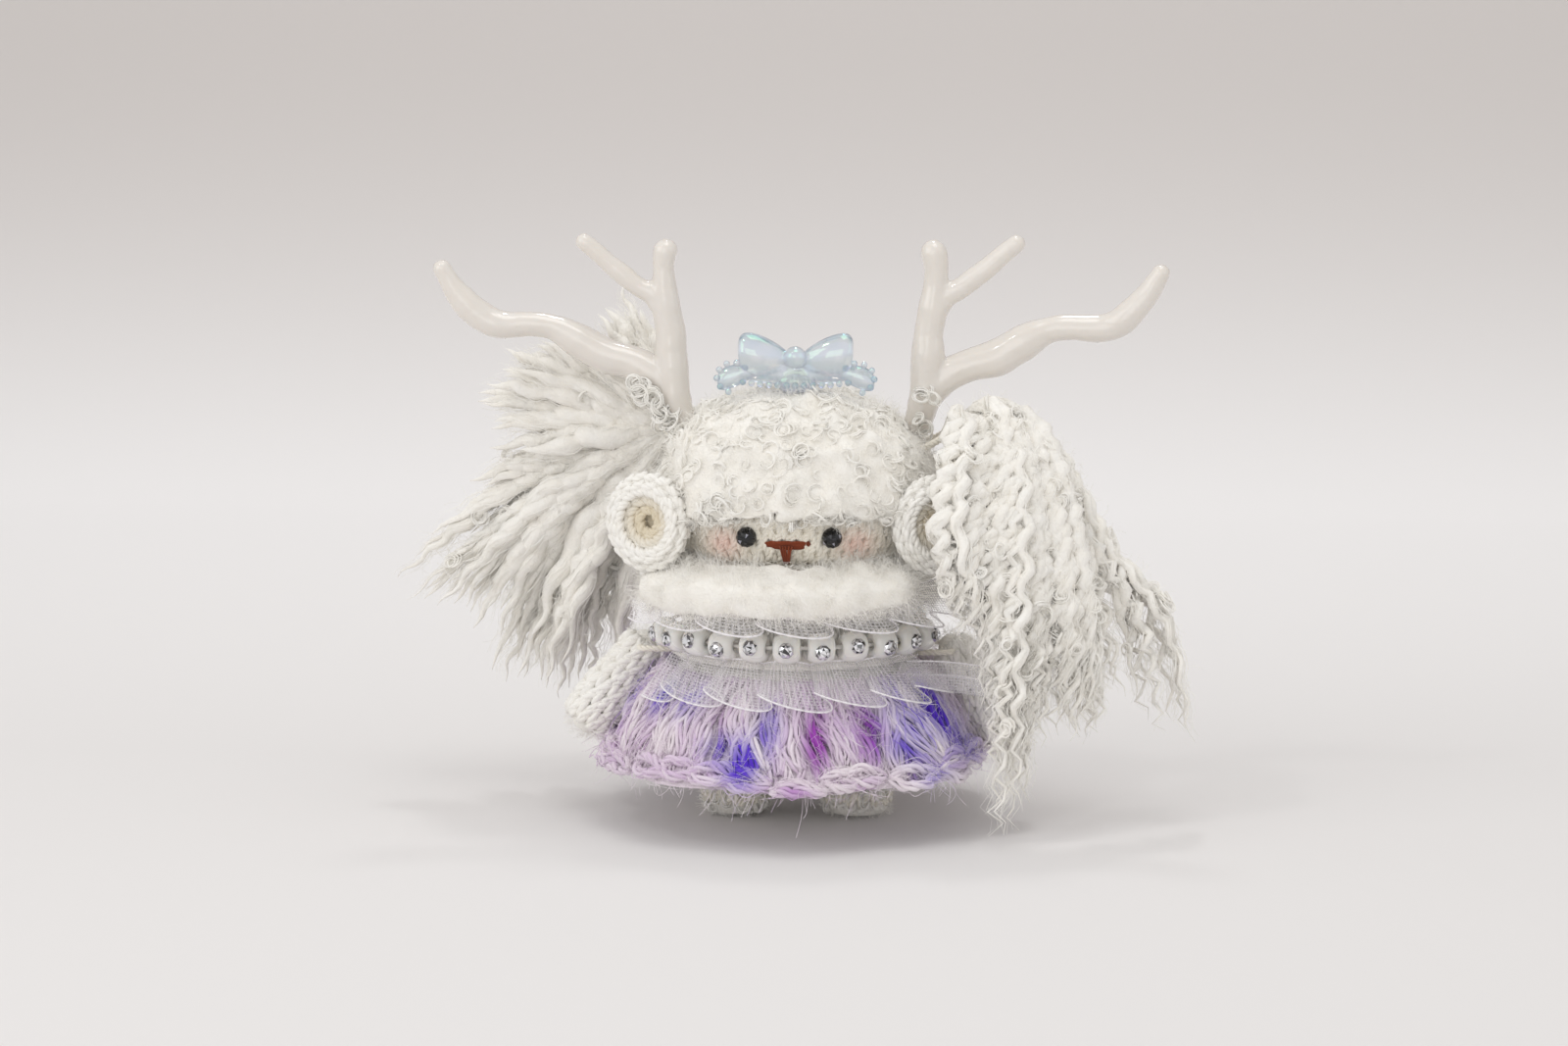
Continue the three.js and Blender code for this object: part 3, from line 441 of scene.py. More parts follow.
def stitch_lines(skin_at, rows, height, puff, steps=6):
    """The two legs of every V stitch on a skin. A row is its height, its stitches and its shift."""
    lines = []
    for level, count, shift in rows:
        for number in range(count):
            middle = FULL_TURN * (number + shift) / count
            for side in (-1, 1):
                line = []
                for share in np.linspace(0, 1, steps):
                    angle = middle + side * (np.pi / count) * (0.95 - 0.78 * share)
                    found = skin_at(level + height * (0.62 - 1.16 * share), angle)
                    if found is not None:
                        rise = puff * math.sin(math.pi * (0.12 + 0.8 * share))
                        line.append(found[0] + rise * found[1])
                if len(line) == steps:
                    lines.append(line)
    return np.array(lines)


def even_rows(low, high, height, around, width):
    """Rows of stitches from low to high, each shifted by half a stitch."""
    count = max(1, round((high - low) / height))
    rows = []
    for row in range(count + 1):
        level = low + (high - low) * row / count
        rows.append((level, max(5, round(around(level) / width)), 0.5 * (row % 2)))
    return rows


def yarn_object(name, lines, radius, tint, plies=3):
    """Plied yarn along the lines, fullest in the middle of each. The tint may be a function of points."""
    turns, sides = 0.8, 5
    swell = 0.72 + 0.34 * np.sin(np.pi * np.linspace(0.08, 0.95, lines.shape[1]))
    twisted = plied(lines, 0.5 * radius, plies, turns)
    shades = tint(twisted) if callable(tint) else tint
    return strand_object(name, twisted, 0.62 * radius * swell, shades, sides)


def sewn_loop(node, place, side, yarn, ends, corner, dip, turns, tint):
    """A loop of plied yarn that comes out of the toy, passes through a joint's place and goes back in."""
    low, high = corners_mm(node)
    inside = low[0] if side > 0 else high[0]
    front, back = low[1] + yarn, high[1] - yarn
    x, y, z = place
    points = [
        [inside, front, ends],
        [x - side * corner, front, z - dip],
        [x, front + corner, z],
        [x, y, z],
        [x, back - corner, z],
        [x - side * corner, back, z - dip],
        [inside, back, ends],
    ]
    line, _ = smooth_line(points, 48)
    return strand_object(f"{node}_yarn", plied(line[None], 0.5 * yarn, 3, turns), 0.5 * yarn, tint, 6)


# Finishes


def arithmetic(operation, swapped=False):
    """A method of a wire that works on it and another value."""

    def method(self, other):
        return self.maths(operation, *((other, self) if swapped else (self, other)))

    return method


class Wire:
    """An output of a node that Python arithmetic can work on."""

    def __init__(self, tree, socket):
        self.tree = tree
        self.socket = socket

    def maths(self, operation, *values):
        node = self.tree.nodes.new("ShaderNodeMath")
        node.operation = operation
        for socket, value in zip(node.inputs, values):
            join(self.tree, socket, value)
        return Wire(self.tree, node.outputs[0])

    __add__ = arithmetic("ADD")
    __radd__ = arithmetic("ADD", swapped=True)
    __rsub__ = arithmetic("SUBTRACT", swapped=True)
    __mul__ = arithmetic("MULTIPLY")
    __rmul__ = arithmetic("MULTIPLY", swapped=True)
    __pow__ = arithmetic("POWER")
    larger = arithmetic("MAXIMUM")

    def sine(self):
        return self.maths("SINE", self)


def join(tree, socket, value):
    """Links a wire to a socket, or sets the socket's own value."""
    if isinstance(value, Wire):
        tree.links.new(value.socket, socket)
    elif socket.type == "RGBA" and len(value) == 3:
        socket.default_value = (*value, 1.0)
    else:
        socket.default_value = value


def socket_named(sockets, name):
    return next((s for s in sockets if s.identifier == name), None) or sockets[name]


class Finish:
    """A material and the nodes that paint it."""

    def __init__(self, name, **sockets):
        self.material = bpy.data.materials.new(name)
        self.material.use_nodes = True
        self.tree = self.material.node_tree
        self.shader = self.tree.nodes["Principled BSDF"]
        self.set(**sockets)

    def set(self, **sockets):
        """Sets the shader's sockets, with _ for a space in their names."""
        for name, value in sockets.items():
            join(self.tree, self.shader.inputs[name.replace("_", " ")], value)

    def node(self, kind, settings=None, sockets=None):
        """A node of any other kind: its settings first, then its sockets. Gives its outputs by name."""
        node = self.tree.nodes.new(kind)
        for name, value in (settings or {}).items():
            if name == "stops":
                for stop, (place, colour) in zip(node.color_ramp.elements, value):
                    stop.position = place
                    stop.color = (*colour, 1.0)
            else:
                setattr(node, name, value)
        for name, value in (sockets or {}).items():
            join(self.tree, socket_named(node.inputs, name), value)
        return {s.identifier: Wire(self.tree, s) for s in node.outputs}

    def where(self):
        return self.node("ShaderNodeTexCoord")["Object"]

    def tint(self):
        return self.node("ShaderNodeAttribute", {"attribute_name": "tint"})["Color"]

    def noise(self, size, detail=2.0, where=None):
        """Noise whose lumps are about that many millimetres wide."""
        sockets = {"Vector": where or self.where(), "Scale": 1 / (size * MM), "Detail": detail}
        return self.node("ShaderNodeTexNoise", None, sockets)["Fac"]

    def mix(self, share, first, second, blend="MIX"):
        sockets = {"Factor_Float": share, "A_Color": first, "B_Color": second}
        settings = {"data_type": "RGBA", "blend_type": blend}
        return self.node("ShaderNodeMix", settings, sockets)["Result_Color"]

    def bump(self, height, depth, strength=0.6):
        sockets = {"Height": height, "Distance": depth * MM, "Strength": strength}
        return self.node("ShaderNodeBump", None, sockets)["Normal"]


def wool_finish(name, shadow, sheen=0.25):
    """Wool and yarn: the painted tint, clouded a little by a warmer shade."""
    finish = Finish(name, Roughness=0.92, Sheen_Weight=sheen, Sheen_Roughness=0.6)
    finish.set(Specular_IOR_Level=0.2)
    cloud = finish.noise(6.0)
    finish.set(Base_Color=finish.mix(0.55 * cloud, finish.tint(), shadow, "MULTIPLY"))
    return finish.material


def felt_finish(name, colour, shadow):
    """The ground under yarn: matted wool with a fine nap."""
    finish = Finish(name, Roughness=0.95, Sheen_Weight=0.2, Specular_IOR_Level=0.15)
    lumps = finish.noise(3.2, 3.0)
    nap = finish.noise(0.5, 3.0)
    finish.set(Base_Color=finish.mix(lumps, colour, shadow))
    finish.set(Normal=finish.bump(lumps + 0.4 * nap, 0.9))
    return finish.material


def dress(obj, material, body="toy", stands_for=()):
    """Gives a piece its finish, the body it rides on and the nodes it stands for."""
    obj.data.materials.clear()
    obj.data.materials.append(material)
    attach(obj, body)
    if stands_for:
        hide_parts(*stands_for)
    return obj


# Settings


def length(name, description, default):
    return FloatProperty(name=name, description=description, default=default * MM, unit="LENGTH")


def angle(name, description, default):
    return FloatProperty(name=name, description=description, default=math.radians(default), subtype="ANGLE")


def colour(name, description, default):
    return FloatVectorProperty(
        name=name, description=description, default=default, size=3, subtype="COLOR", min=0, max=1
    )


def amount(name, description, default):
    return IntProperty(name=name, description=description, default=default, min=1)


class YarnSettings(bpy.types.PropertyGroup):
    """Yarn, stitches and curly wool."""

    stitch_width: length("Stitch width", "Width of one crochet stitch", 2.8)
    stitch_height: length("Stitch height", "Height of one crochet row", 2.5)
    yarn_radius: length("Yarn radius", "Radius of the yarn of the face and ears", 0.86)
    arm_stitch: length("Arm stitch", "Width of one chunky stitch of the arms", 4.1)
    arm_yarn: length("Arm yarn", "Radius of the chunky yarn of the arms", 1.05)
    fibre: length("Fibre", "Radius of one hair of fuzz", 0.032)
    curl: length("Curl", "Radius of the rings of the cap's wool", 1.35)
    cap_curls: amount("Cap curls", "Wool rings on the cap", 520)
    cap_fuzz: amount("Cap fuzz", "Hairs on the cap", 10000)
    collar_fuzz: amount("Collar fuzz", "Hairs on the collar", 9000)
    white: colour("Wool white", "Colour of the wool", srgb(251, 250, 247))
    cream: colour("Yarn cream", "Colour of the face and ears", srgb(249, 245, 235))
    shadow: colour("Wool shade", "Tone in the depth of the wool", srgb(247, 242, 232))
    blush: colour("Blush", "Colour of the cheeks", srgb(243, 190, 182))


class DressSettings(bpy.types.PropertyGroup):
    """Skirt, ribbon and beads."""

    posts: amount("Posts", "Long stitches round the skirt", 84)
    links: amount("Hem links", "Chain stitches round the hem", 36)
    halo: amount("Halo", "Loose mohair hairs on the skirt", 3400)
    pale: colour("Mohair white", "Palest tone of the mohair", srgb(241, 233, 237))
    lilac: colour("Mohair lilac", "Light tone of the mohair", srgb(216, 192, 220))
    violet: colour("Mohair violet", "Strong tone of the mohair", srgb(88, 44, 206))
    magenta: colour("Mohair magenta", "Reddish tone of the mohair", srgb(160, 60, 180))
    ribbon: colour("Organza", "Colour of the ribbon", srgb(246, 243, 245))
    bead: colour("Beads", "Colour of the milky beads", srgb(250, 248, 244))


class TrimSettings(bpy.types.PropertyGroup):
    """Antlers, bow, eyes and nose."""

    antler: colour("Antlers", "Colour of the moulded antlers", srgb(231, 226, 220))
    bow: colour("Bow", "Tint of the clear bow", srgb(214, 232, 247))
    eye: colour("Eyes", "Colour of the eye beads", srgb(12, 12, 14))
    nose: colour("Nose", "Colour of the embroidered nose", srgb(136, 66, 40))


class StageSettings(bpy.types.PropertyGroup):
    """Camera, floor and light."""

    azimuth: angle("Azimuth", "Turn of the camera to the right", 4.5)
    elevation: angle("Elevation", "Height of the camera's view", 8.0)
    distance: length("Distance", "From the camera to the point it looks at", 755.0)
    aim_height: length("Aim height", "Height of the point that the camera looks at", 59.8)
    aim_shift: length("Aim shift", "Sideways shift of that point", -2.8)
    lens: FloatProperty(name="Lens", description="Focal length in millimetres", default=85.0)
    floor: colour("Floor", "Colour of the floor", srgb(233, 231, 230))
    # The far floor is painted lighter and the backdrop darker than the floor: painted light and painted shade
    # on the sweep.
    lit_far_floor: colour("Far floor", "Colour of the floor towards the back", srgb(251, 250, 250))
    shaded_backdrop: colour("Backdrop", "Colour of the upper backdrop", srgb(213, 208, 205))


# Pieces


class LAMB_OT_stage(bpy.types.Operator):
    """Makes the camera, the floor with its sweep and the soft light"""

    bl_idname = "lamb.make_stage"
    bl_label = "Stage"

    def execute(self, context):
        stage = context.scene.lamb_stage
        self.camera(context, stage)
        self.sweep(stage)
        self.light(context)
        context.scene.view_settings.view_transform = "Standard"
        return {"FINISHED"}

    def camera(self, context, stage):
        turn, rise = stage.azimuth, stage.elevation
        right = Vector((math.cos(turn), math.sin(turn), 0))
        back = Vector((math.sin(turn) * math.cos(rise), -math.cos(turn) * math.cos(rise), math.sin(rise)))
        aim = Vector((0, 0, stage.aim_height)) + stage.aim_shift * right
        data = bpy.data.cameras.new("camera")
        data.lens = stage.lens
        data.sensor_width = 36.0
        data.clip_start = 0.01
        camera = bpy.data.objects.new("camera", data)
        camera.location = aim + stage.distance * back
        camera.rotation_euler = back.to_track_quat("Z", "Y").to_euler()
        context.scene.collection.objects.link(camera)
        context.scene.camera = camera

    def sweep(self, stage):
        front, bend_start, radius, top, half = -900.0, 420.0, 420.0, 1500.0, 1600.0
        turn = np.linspace(0, np.pi / 2, 24)
        depth = np.concatenate([[front], bend_start + radius * np.sin(turn), [bend_start + radius]])
        height = np.concatenate([[0.0], radius * (1 - np.cos(turn)), [top]])
        wide = np.linspace(-half, half, 9)
        line = np.stack([np.zeros_like(depth), depth, height], axis=-1)
        points = line[:, None] + wide[None, :, None] * np.array([1.0, 0, 0])
        floor = grid_object("studio_sweep", points)
        finish = Finish("studio_paper", Roughness=0.9, Specular_IOR_Level=0.1)
        split = finish.node("ShaderNodeSeparateXYZ", None, {"Vector": finish.where()})
        span = {"Value": split["Z"], "From Min": 0.0, "From Max": 0.16}
        share = 1.0 - (1.0 - finish.node("ShaderNodeMapRange", None, span)["Result"]) ** 2.0
        span = {"Value": split["Y"], "From Min": 0.05, "From Max": 0.45}
        far = finish.node("ShaderNodeMapRange", None, span)["Result"]
        # Painted light and shade: the paper is painted lighter towards the back of the floor and darker up
        # the backdrop.
        paper = finish.mix(far, stage.floor, stage.lit_far_floor)
        finish.set(Base_Color=finish.mix(share, paper, stage.shaded_backdrop))
        floor.data.materials.append(finish.material)

    def light(self, context):
        world = bpy.data.worlds.new("soft_sky")
        world.use_nodes = True
        background = world.node_tree.nodes["Background"]
        background.inputs["Color"].default_value = (1.0, 0.99, 0.985, 1.0)
        background.inputs["Strength"].default_value = 0.69
        context.scene.world = world
        # Name, place in metres, size in metres and power in watts.
        lamps = (
            ("top_softbox", (0.1, -0.2, 0.95), 0.45, 1.2),
            ("left_softbox", (-0.85, -0.65, 0.5), 0.7, 1.85),
            ("right_softbox", (0.95, -0.45, 0.5), 0.7, 0.5),
            ("front_softbox", (-0.15, -0.95, 0.32), 0.5, 0.66),
            ("back_strip", (0.0, 0.35, 0.8), 0.09, 0.7),
            ("left_strip", (-0.4, -0.4, 0.75), 0.07, 0.4),
        )
        for name, place, size, power in lamps:
            data = bpy.data.lights.new(name, "AREA")
            data.size = size
            data.energy = power
            lamp = bpy.data.objects.new(name, data)
            lamp.location = place
            aim = Vector(place) - Vector((0, 0, 0.05))
            lamp.rotation_euler = aim.to_track_quat("Z", "Y").to_euler()
            context.scene.collection.objects.link(lamp)


class LAMB_OT_body(bpy.types.Operator):
    """Makes the crochet body and legs with their stuffing and seam"""

    bl_idname = "lamb.make_body"
    bl_label = "Body and legs"

    def execute(self, context):
        yarn = context.scene.lamb_yarn
        rng = np.random.default_rng(11)
        self.ground = felt_finish("matted_wool", yarn.white, yarn.shadow)
        self.yarn = wool_finish("white_yarn", yarn.shadow)
        self.body(yarn, rng)
        for _, name in SIDES:
            self.leg(yarn, name, rng)
        self.inside(yarn, rng)
        return {"FINISHED"}

    def body(self, yarn, rng):
        body = soft_copy("body_wool", "body_cover", voxel=0.9, smoothing=4, inset=1.2)
        lumpy(body, 220, height=0.5, width=2.0, rng=rng)
        dress(body, self.ground, stands_for=["body_cover"])
        low, high = corners_mm("body_cover")
        skin = Skin(body).around(np.zeros(3), UP, FRONT)
        widest = high[0]
        rows = even_rows(low[2] + 3.5, low[2] + 27, 3.2, lambda z: FULL_TURN * widest, 3.6)
        lines = stitch_lines(skin, rows, 3.2, 0.6)
        stitches = yarn_object("body_stitches", lines, 0.85, yarn.white, plies=2)
        dress(stitches, self.yarn)
        lowest = low[2] + 20
        outer = lambda p, n: (p[:, 2] < lowest) & ((n * p).sum(1) > 0)
        roots, normals = scatter(body, 260, rng, outer)
        rings = curls(roots, normals, radius=yarn.curl / MM, turns=1.3, strands=4, rng=rng)
        dress(strand_object("body_curls", rings, 0.12, yarn.white), self.yarn)
        roots, normals = scatter(body, 2600, rng, outer)
        hairs = fibres(roots, normals, length=3.0, spread=0.5, bend=1.1, rng=rng)
        dress(strand_object("body_fuzz", hairs, yarn.fibre / MM, yarn.white), self.yarn)

    def leg(self, yarn, name, rng):
        node = f"{name}_leg"
        leg = soft_copy(f"{name}_leg_wool", node, voxel=0.6, smoothing=4, inset=0.7)
        dress(leg, self.ground, stands_for=[node])
        low, high = corners_mm(node)
        foot = (low + high) / 2 * np.array([1, 1, 0])
        skin = Skin(leg).around(foot, UP, FRONT)
        rows = even_rows(1.2, high[2] - 2.0, 2.6, lambda z: np.pi * (high[0] - low[0]), 3.0)
        lines = stitch_lines(skin, rows, 2.6, 0.35)
        above_floor(lines, 0.9)
        dress(yarn_object(f"{name}_leg_stitches", lines, 0.7, yarn.cream, plies=2), self.yarn)
        roots, normals = scatter(leg, 90, rng, lambda p, n: (p[:, 2] > 1.6) & (n[:, 2] > -0.6))
        rings = curls(roots, normals, radius=1.0, turns=1.25, strands=3, rng=rng, looseness=0.14)
        above_floor(rings, 0.5)
        dress(strand_object(f"{name}_leg_curls", rings, 0.15, yarn.white, 5), self.yarn)
        roots, normals = scatter(leg, 1600, rng, lambda p, n: p[:, 2] > 0.8)
        hairs = fibres(roots, normals, length=2.4, spread=0.7, bend=1.4, rng=rng)
        above_floor(hairs, 0.3)
        dress(strand_object(f"{name}_leg_fuzz", hairs, yarn.fibre / MM, yarn.white), self.yarn)

    def inside(self, yarn, rng):
        fill = felt_finish("fibre_filling", yarn.white, yarn.white)
        for node in ("body_stuffing", "head_stuffing"):
            wad = soft_copy(f"{node}_wad", node, voxel=1.4, smoothing=6, inset=0.4)
            lumpy(wad, 90, height=0.35, width=2.5, rng=rng)
            dress(wad, fill, stands_for=[node])
        low, high = corners_mm("neck_seam")
        turn = np.linspace(0, FULL_TURN, 181)
        ring = (high[0] - low[0] - (high[2] - low[2])) / 2
        whip = 0.28 * np.cos(40 * turn)
        line = np.stack([(ring + whip) * np.cos(turn), (ring + whip) * np.sin(turn)], axis=-1)
        height = (low[2] + high[2]) / 2 + 0.2 * np.sin(40 * turn)
        line = np.concatenate([line, height[:, None]], axis=1)[None]
        seam = strand_object("neck_seam_yarn", plied(line, 0.28, 3, 30), 0.3, yarn.cream, 6)
        dress(seam, self.yarn, stands_for=["neck_seam"])


class LAMB_OT_head(bpy.types.Operator):
    """Makes the crochet face with its blush, the eye beads and the embroidered nose"""

    bl_idname = "lamb.make_head"
    bl_label = "Face"

    cheek_drop = 1.7
    cheek_out = 4.6
    cheek_size = 2.3

    def execute(self, context):
        yarn, trim = context.scene.lamb_yarn, context.scene.lamb_trim
        rng = np.random.default_rng(23)
        head = soft_copy("face_wool", "head_cover", voxel=0.8, smoothing=5, inset=0.3)
        ground = felt_finish("face_ground", yarn.cream, yarn.shadow)
        dress(head, ground, stands_for=["head_cover"])
        low, high = corners_mm("head_cover")
        skin = Skin(head)
        eyes = [np.mean(corners_mm(f"{name}_eye_bead"), axis=0) for name in ("left", "right")]
        cheeks = [eye + [np.sign(eye[0]) * self.cheek_out, 0, -self.cheek_drop] for eye in eyes]

        def shade(lines):
            pale = np.broadcast_to(np.array(yarn.cream), lines.shape).copy()
            for cheek in cheeks:
                away = ((lines - cheek)[..., [0, 2]] ** 2).sum(-1)
                share = 0.5 * np.exp(-away / (2 * self.cheek_size**2)) * (lines[..., 1] < 0)
                pale += share[..., None] * (np.array(yarn.blush) - pale)
            return pale

        width, height = yarn.stitch_width / MM, yarn.stitch_height / MM
        rows = even_rows(low[2] + 1.2, low[2] + 17.6, height, lambda z: FULL_TURN * high[0] * 0.94, width)
        lines = stitch_lines(skin.around(np.zeros(3), UP, FRONT), rows, height, 0.2)
        clear = np.ones(len(lines), bool)
        for eye in eyes:
            clear &= np.linalg.norm(lines - eye, axis=-1).min(1) > 2.0
        finish = wool_finish("face_yarn_strands", yarn.shadow)
        stitches = yarn_object("face_stitches", lines[clear], yarn.yarn_radius / MM, shade)
        dress(stitches, finish)
        middle = [0, 0, low[2] + 14]
        band = lambda p, n: (p[:, 2] < low[2] + 18) & ((n * (p - middle)).sum(1) > 0)
        roots, normals = scatter(head, 4200, rng, band)
        hairs = fibres(roots + 0.6 * normals, normals, length=2.1, spread=0.9, bend=1.6, rng=rng)
        hairs = clear_of_features(hairs)
        dress(strand_object("face_fuzz", hairs, 0.026, shade(hairs)), finish)
        for name in ("left", "right"):
            self.eye(name, trim, rng)
        self.nose(skin, trim, rng)
        return {"FINISHED"}

    def eye(self, name, trim, rng):
        node = f"{name}_eye_bead"
        low, high = corners_mm(node)
        middle, radius = (low + high) / 2, (high - low).max() / 2
        levels, sides = 7, 11
        points = [[0, -radius, 0]]
        for level in range(1, levels):
            tilt = math.pi * level / levels
            for side in range(sides):
                turn = FULL_TURN * (side + 0.5 * (level % 2)) / sides
                ring = radius * math.sin(tilt)
                points.append([ring * math.cos(turn), -radius * math.cos(tilt), ring * math.sin(turn)])
        points.append([0, radius, 0])
        shape = bmesh.new()
        for point in points:
            shape.verts.new((np.array(point) + middle) * MM)
        bmesh.ops.convex_hull(shape, input=shape.verts)
        bead = facets(f"{name}_eye_facets", shape)
        # Painted glints: a few facets of the black bead are painted light grey as reflections.
        glints = rng.choice([1.0, 2.5, 9.0, 90.0], size=len(bead.polygons), p=[0.64, 0.26, 0.06, 0.04])
        paint_faces(bead, np.minimum(glints[:, None] * np.array(trim.eye), 0.6))
        finish = Finish(f"{name}_eye_black", IOR=1.5, Specular_IOR_Level=0.5)
        finish.set(Base_Color=finish.tint(), Roughness=0.03 + 0.1 * finish.noise(0.8))
        dress(link(f"{name}_eye_facets", bead), finish.material, stands_for=[node])

    def nose(self, skin, trim, rng):
        low, high = corners_mm("nose_stitches")
        half, bar = (high[0] - low[0]) / 2, high[2] - 0.75
        at = lambda x, z: skin.seen([x, -80, z], [0, 1, 0])
        lines = []
        threads = 9
        for thread in range(threads):
            share = thread / (threads - 1) - 0.5
            line = []
            for s in np.linspace(-1, 1, 12):
                x = 1.05 * half * s * (1 - 0.1 * abs(share)) - 0.6
                thick = 1.3 * (1 - 0.85 * s**2 * (s < 0)) * (1 - 0.2 * s)
                point, normal = at(x, bar - 0.5 + thick * share + 0.07 * rng.normal() - 0.1 * s)
                line.append(point + (1.2 - 0.9 * s**4) * normal)
            lines.append(line)
        for thread in range(5):
            share = thread / 4 - 0.5
            line = []
            for s in np.linspace(0, 1, 12):
                x, start = -0.5 + 1.9 * share * (1.1 - 0.75 * s), bar - 0.4
                point, normal = at(x, start - (start - low[2]) * s)
                line.append(point + (2.0 - 0.5 * s**3) * normal)
            lines.append(line)
        lines = np.array(lines)
        shades = np.array(trim.nose) * rng.uniform(0.7, 1.1, size=(len(lines), 1))
        nose = strand_object("nose_threads", lines, 0.23, shades, 6)
        finish = wool_finish("rust_thread", (0.8, 0.7, 0.66), sheen=0.1)
        dress(nose, finish, stands_for=["nose_stitches"])


class LAMB_OT_cap(bpy.types.Operator):
    """Makes the cap of curly wool"""

    bl_idname = "lamb.make_cap"
    bl_label = "Wool cap"

    def execute(self, context):
        yarn = context.scene.lamb_yarn
        rng = np.random.default_rng(37)
        self.white = yarn.white
        cap = soft_copy("cap_wool", "wool_cap", voxel=0.7, smoothing=3, inset=1.0)
        self.brow(cap)
        lumpy(cap, 1100, height=1.1, width=1.3, rng=rng)
        ground = felt_finish("cap_ground", yarn.white, yarn.shadow)
        dress(cap, ground, stands_for=["wool_cap"])
        self.finish = wool_finish("cap_curl_wool", yarn.shadow, sheen=0.0)
        middle = np.array([0, 0, corners_mm("wool_cap")[0][2] + 8])
        outer = lambda p, n: (n * unit(p - middle)).sum(1) > 0.25
        roots, normals = scatter(cap, yarn.cap_curls, rng, outer)
        rings = curls(
            roots - 0.4 * normals, normals,
            radius=yarn.curl / MM, turns=1.25, strands=3, rng=rng, looseness=0.14, tilt=0.3,
        )
        self.hair("cap_curls", rings, 0.155, rng, 4)
        for part in ("front", "back"):
            facing = lambda p, n: outer(p, n) & ((p[:, 1] < 2) == (part == "front"))
            roots, normals = scatter(cap, yarn.cap_fuzz // 2, rng, facing)
            hairs = fibres(roots + 0.3 * normals, normals, length=3.8, spread=0.9, bend=2.8, rng=rng)
            self.hair(f"cap_fuzz_{part}", hairs, yarn.fibre / MM * np.linspace(1.1, 0.5, 5), rng)
        edge = lambda p, n: (n[:, 2] < -0.1) & (np.hypot(p[:, 0], p[:, 1]) > 22)
        roots, normals = scatter(cap, 3400, rng, edge)
        fringe = unit(normals + 0.8 * unit(roots * [1, 1, 0]))
        hairs = fibres(roots, fringe, length=4.6, spread=0.6, bend=2.0, rng=rng, lean=(0, 0, -0.4))
        self.hair("brow_fringe", clear_of_features(hairs), yarn.fibre / MM, rng)
        roots, normals = scatter(cap, 190, rng, edge)
        facing = unit(normals + 1.2 * unit(roots * [1, 1, 0]))
        rings = curls(roots - 0.8 * UP, facing, radius=1.15, turns=1.25, strands=2, rng=rng, looseness=0.12)
        self.hair("brow_curls", clear_of_features(rings), 0.17, rng, 5)
        self.antler_tufts(rng)
        return {"FINISHED"}

    def brow(self, cap):
        """Lets the front edge of the cap hang down to just above the eyes, unevenly.

        Angles are degrees from the front, levels are millimetres above the floor.
        """
        fall, points = 2.3, points_of(cap)
        angle = np.degrees(np.arctan2(points[:, 0], -points[:, 1]))
        share = (1 - ease(60, 96, np.abs(angle))) * (1 - ease(61, 72, points[:, 2]))
        waves = 1 + 0.25 * np.sin(np.radians(11 * angle)) + 0.15 * np.sin(np.radians(23 * angle + 50))
        points[:, 2] -= fall * share * waves
        points[:, :2] *= (1 + 0.02 * share)[:, None]
        move_points(cap, points)

    def hair(self, name, lines, radius, rng, sides=3):
        shades = uneven(self.white, len(lines), rng)
        dress(strand_object(name, lines, radius, shades, sides), self.finish)

    def antler_tufts(self, rng):
        """Loose rings of wool round the feet of the antlers."""
        for name in ("left", "right"):
            low, high = corners_mm(f"{name}_antler")
            side = np.sign(low[0] + high[0])
            foot = np.array([side * 25.0, low[1] - 0.5, low[2] + 8.0])
            count = 16 if name == "left" else 7
            share = rng.uniform(0, 1, size=(count, 1))
            along = np.array([-9.5, 0.0, 10.0]) if name == "left" else np.array([1.5, 0.0, 11.0])
            roots = foot + share * along + rng.normal(size=(count, 3)) * [1.1, 0.8, 1.1]
            normals = unit(np.array([0, -1.0, 0.3]) + 0.3 * rng.normal(size=(count, 3)))
            rings = curls(roots, normals, radius=1.6, turns=1.5, strands=5, rng=rng, steps=20, looseness=0.2)
            self.hair(f"{name}_antler_tuft", rings, 0.14, rng, 5)


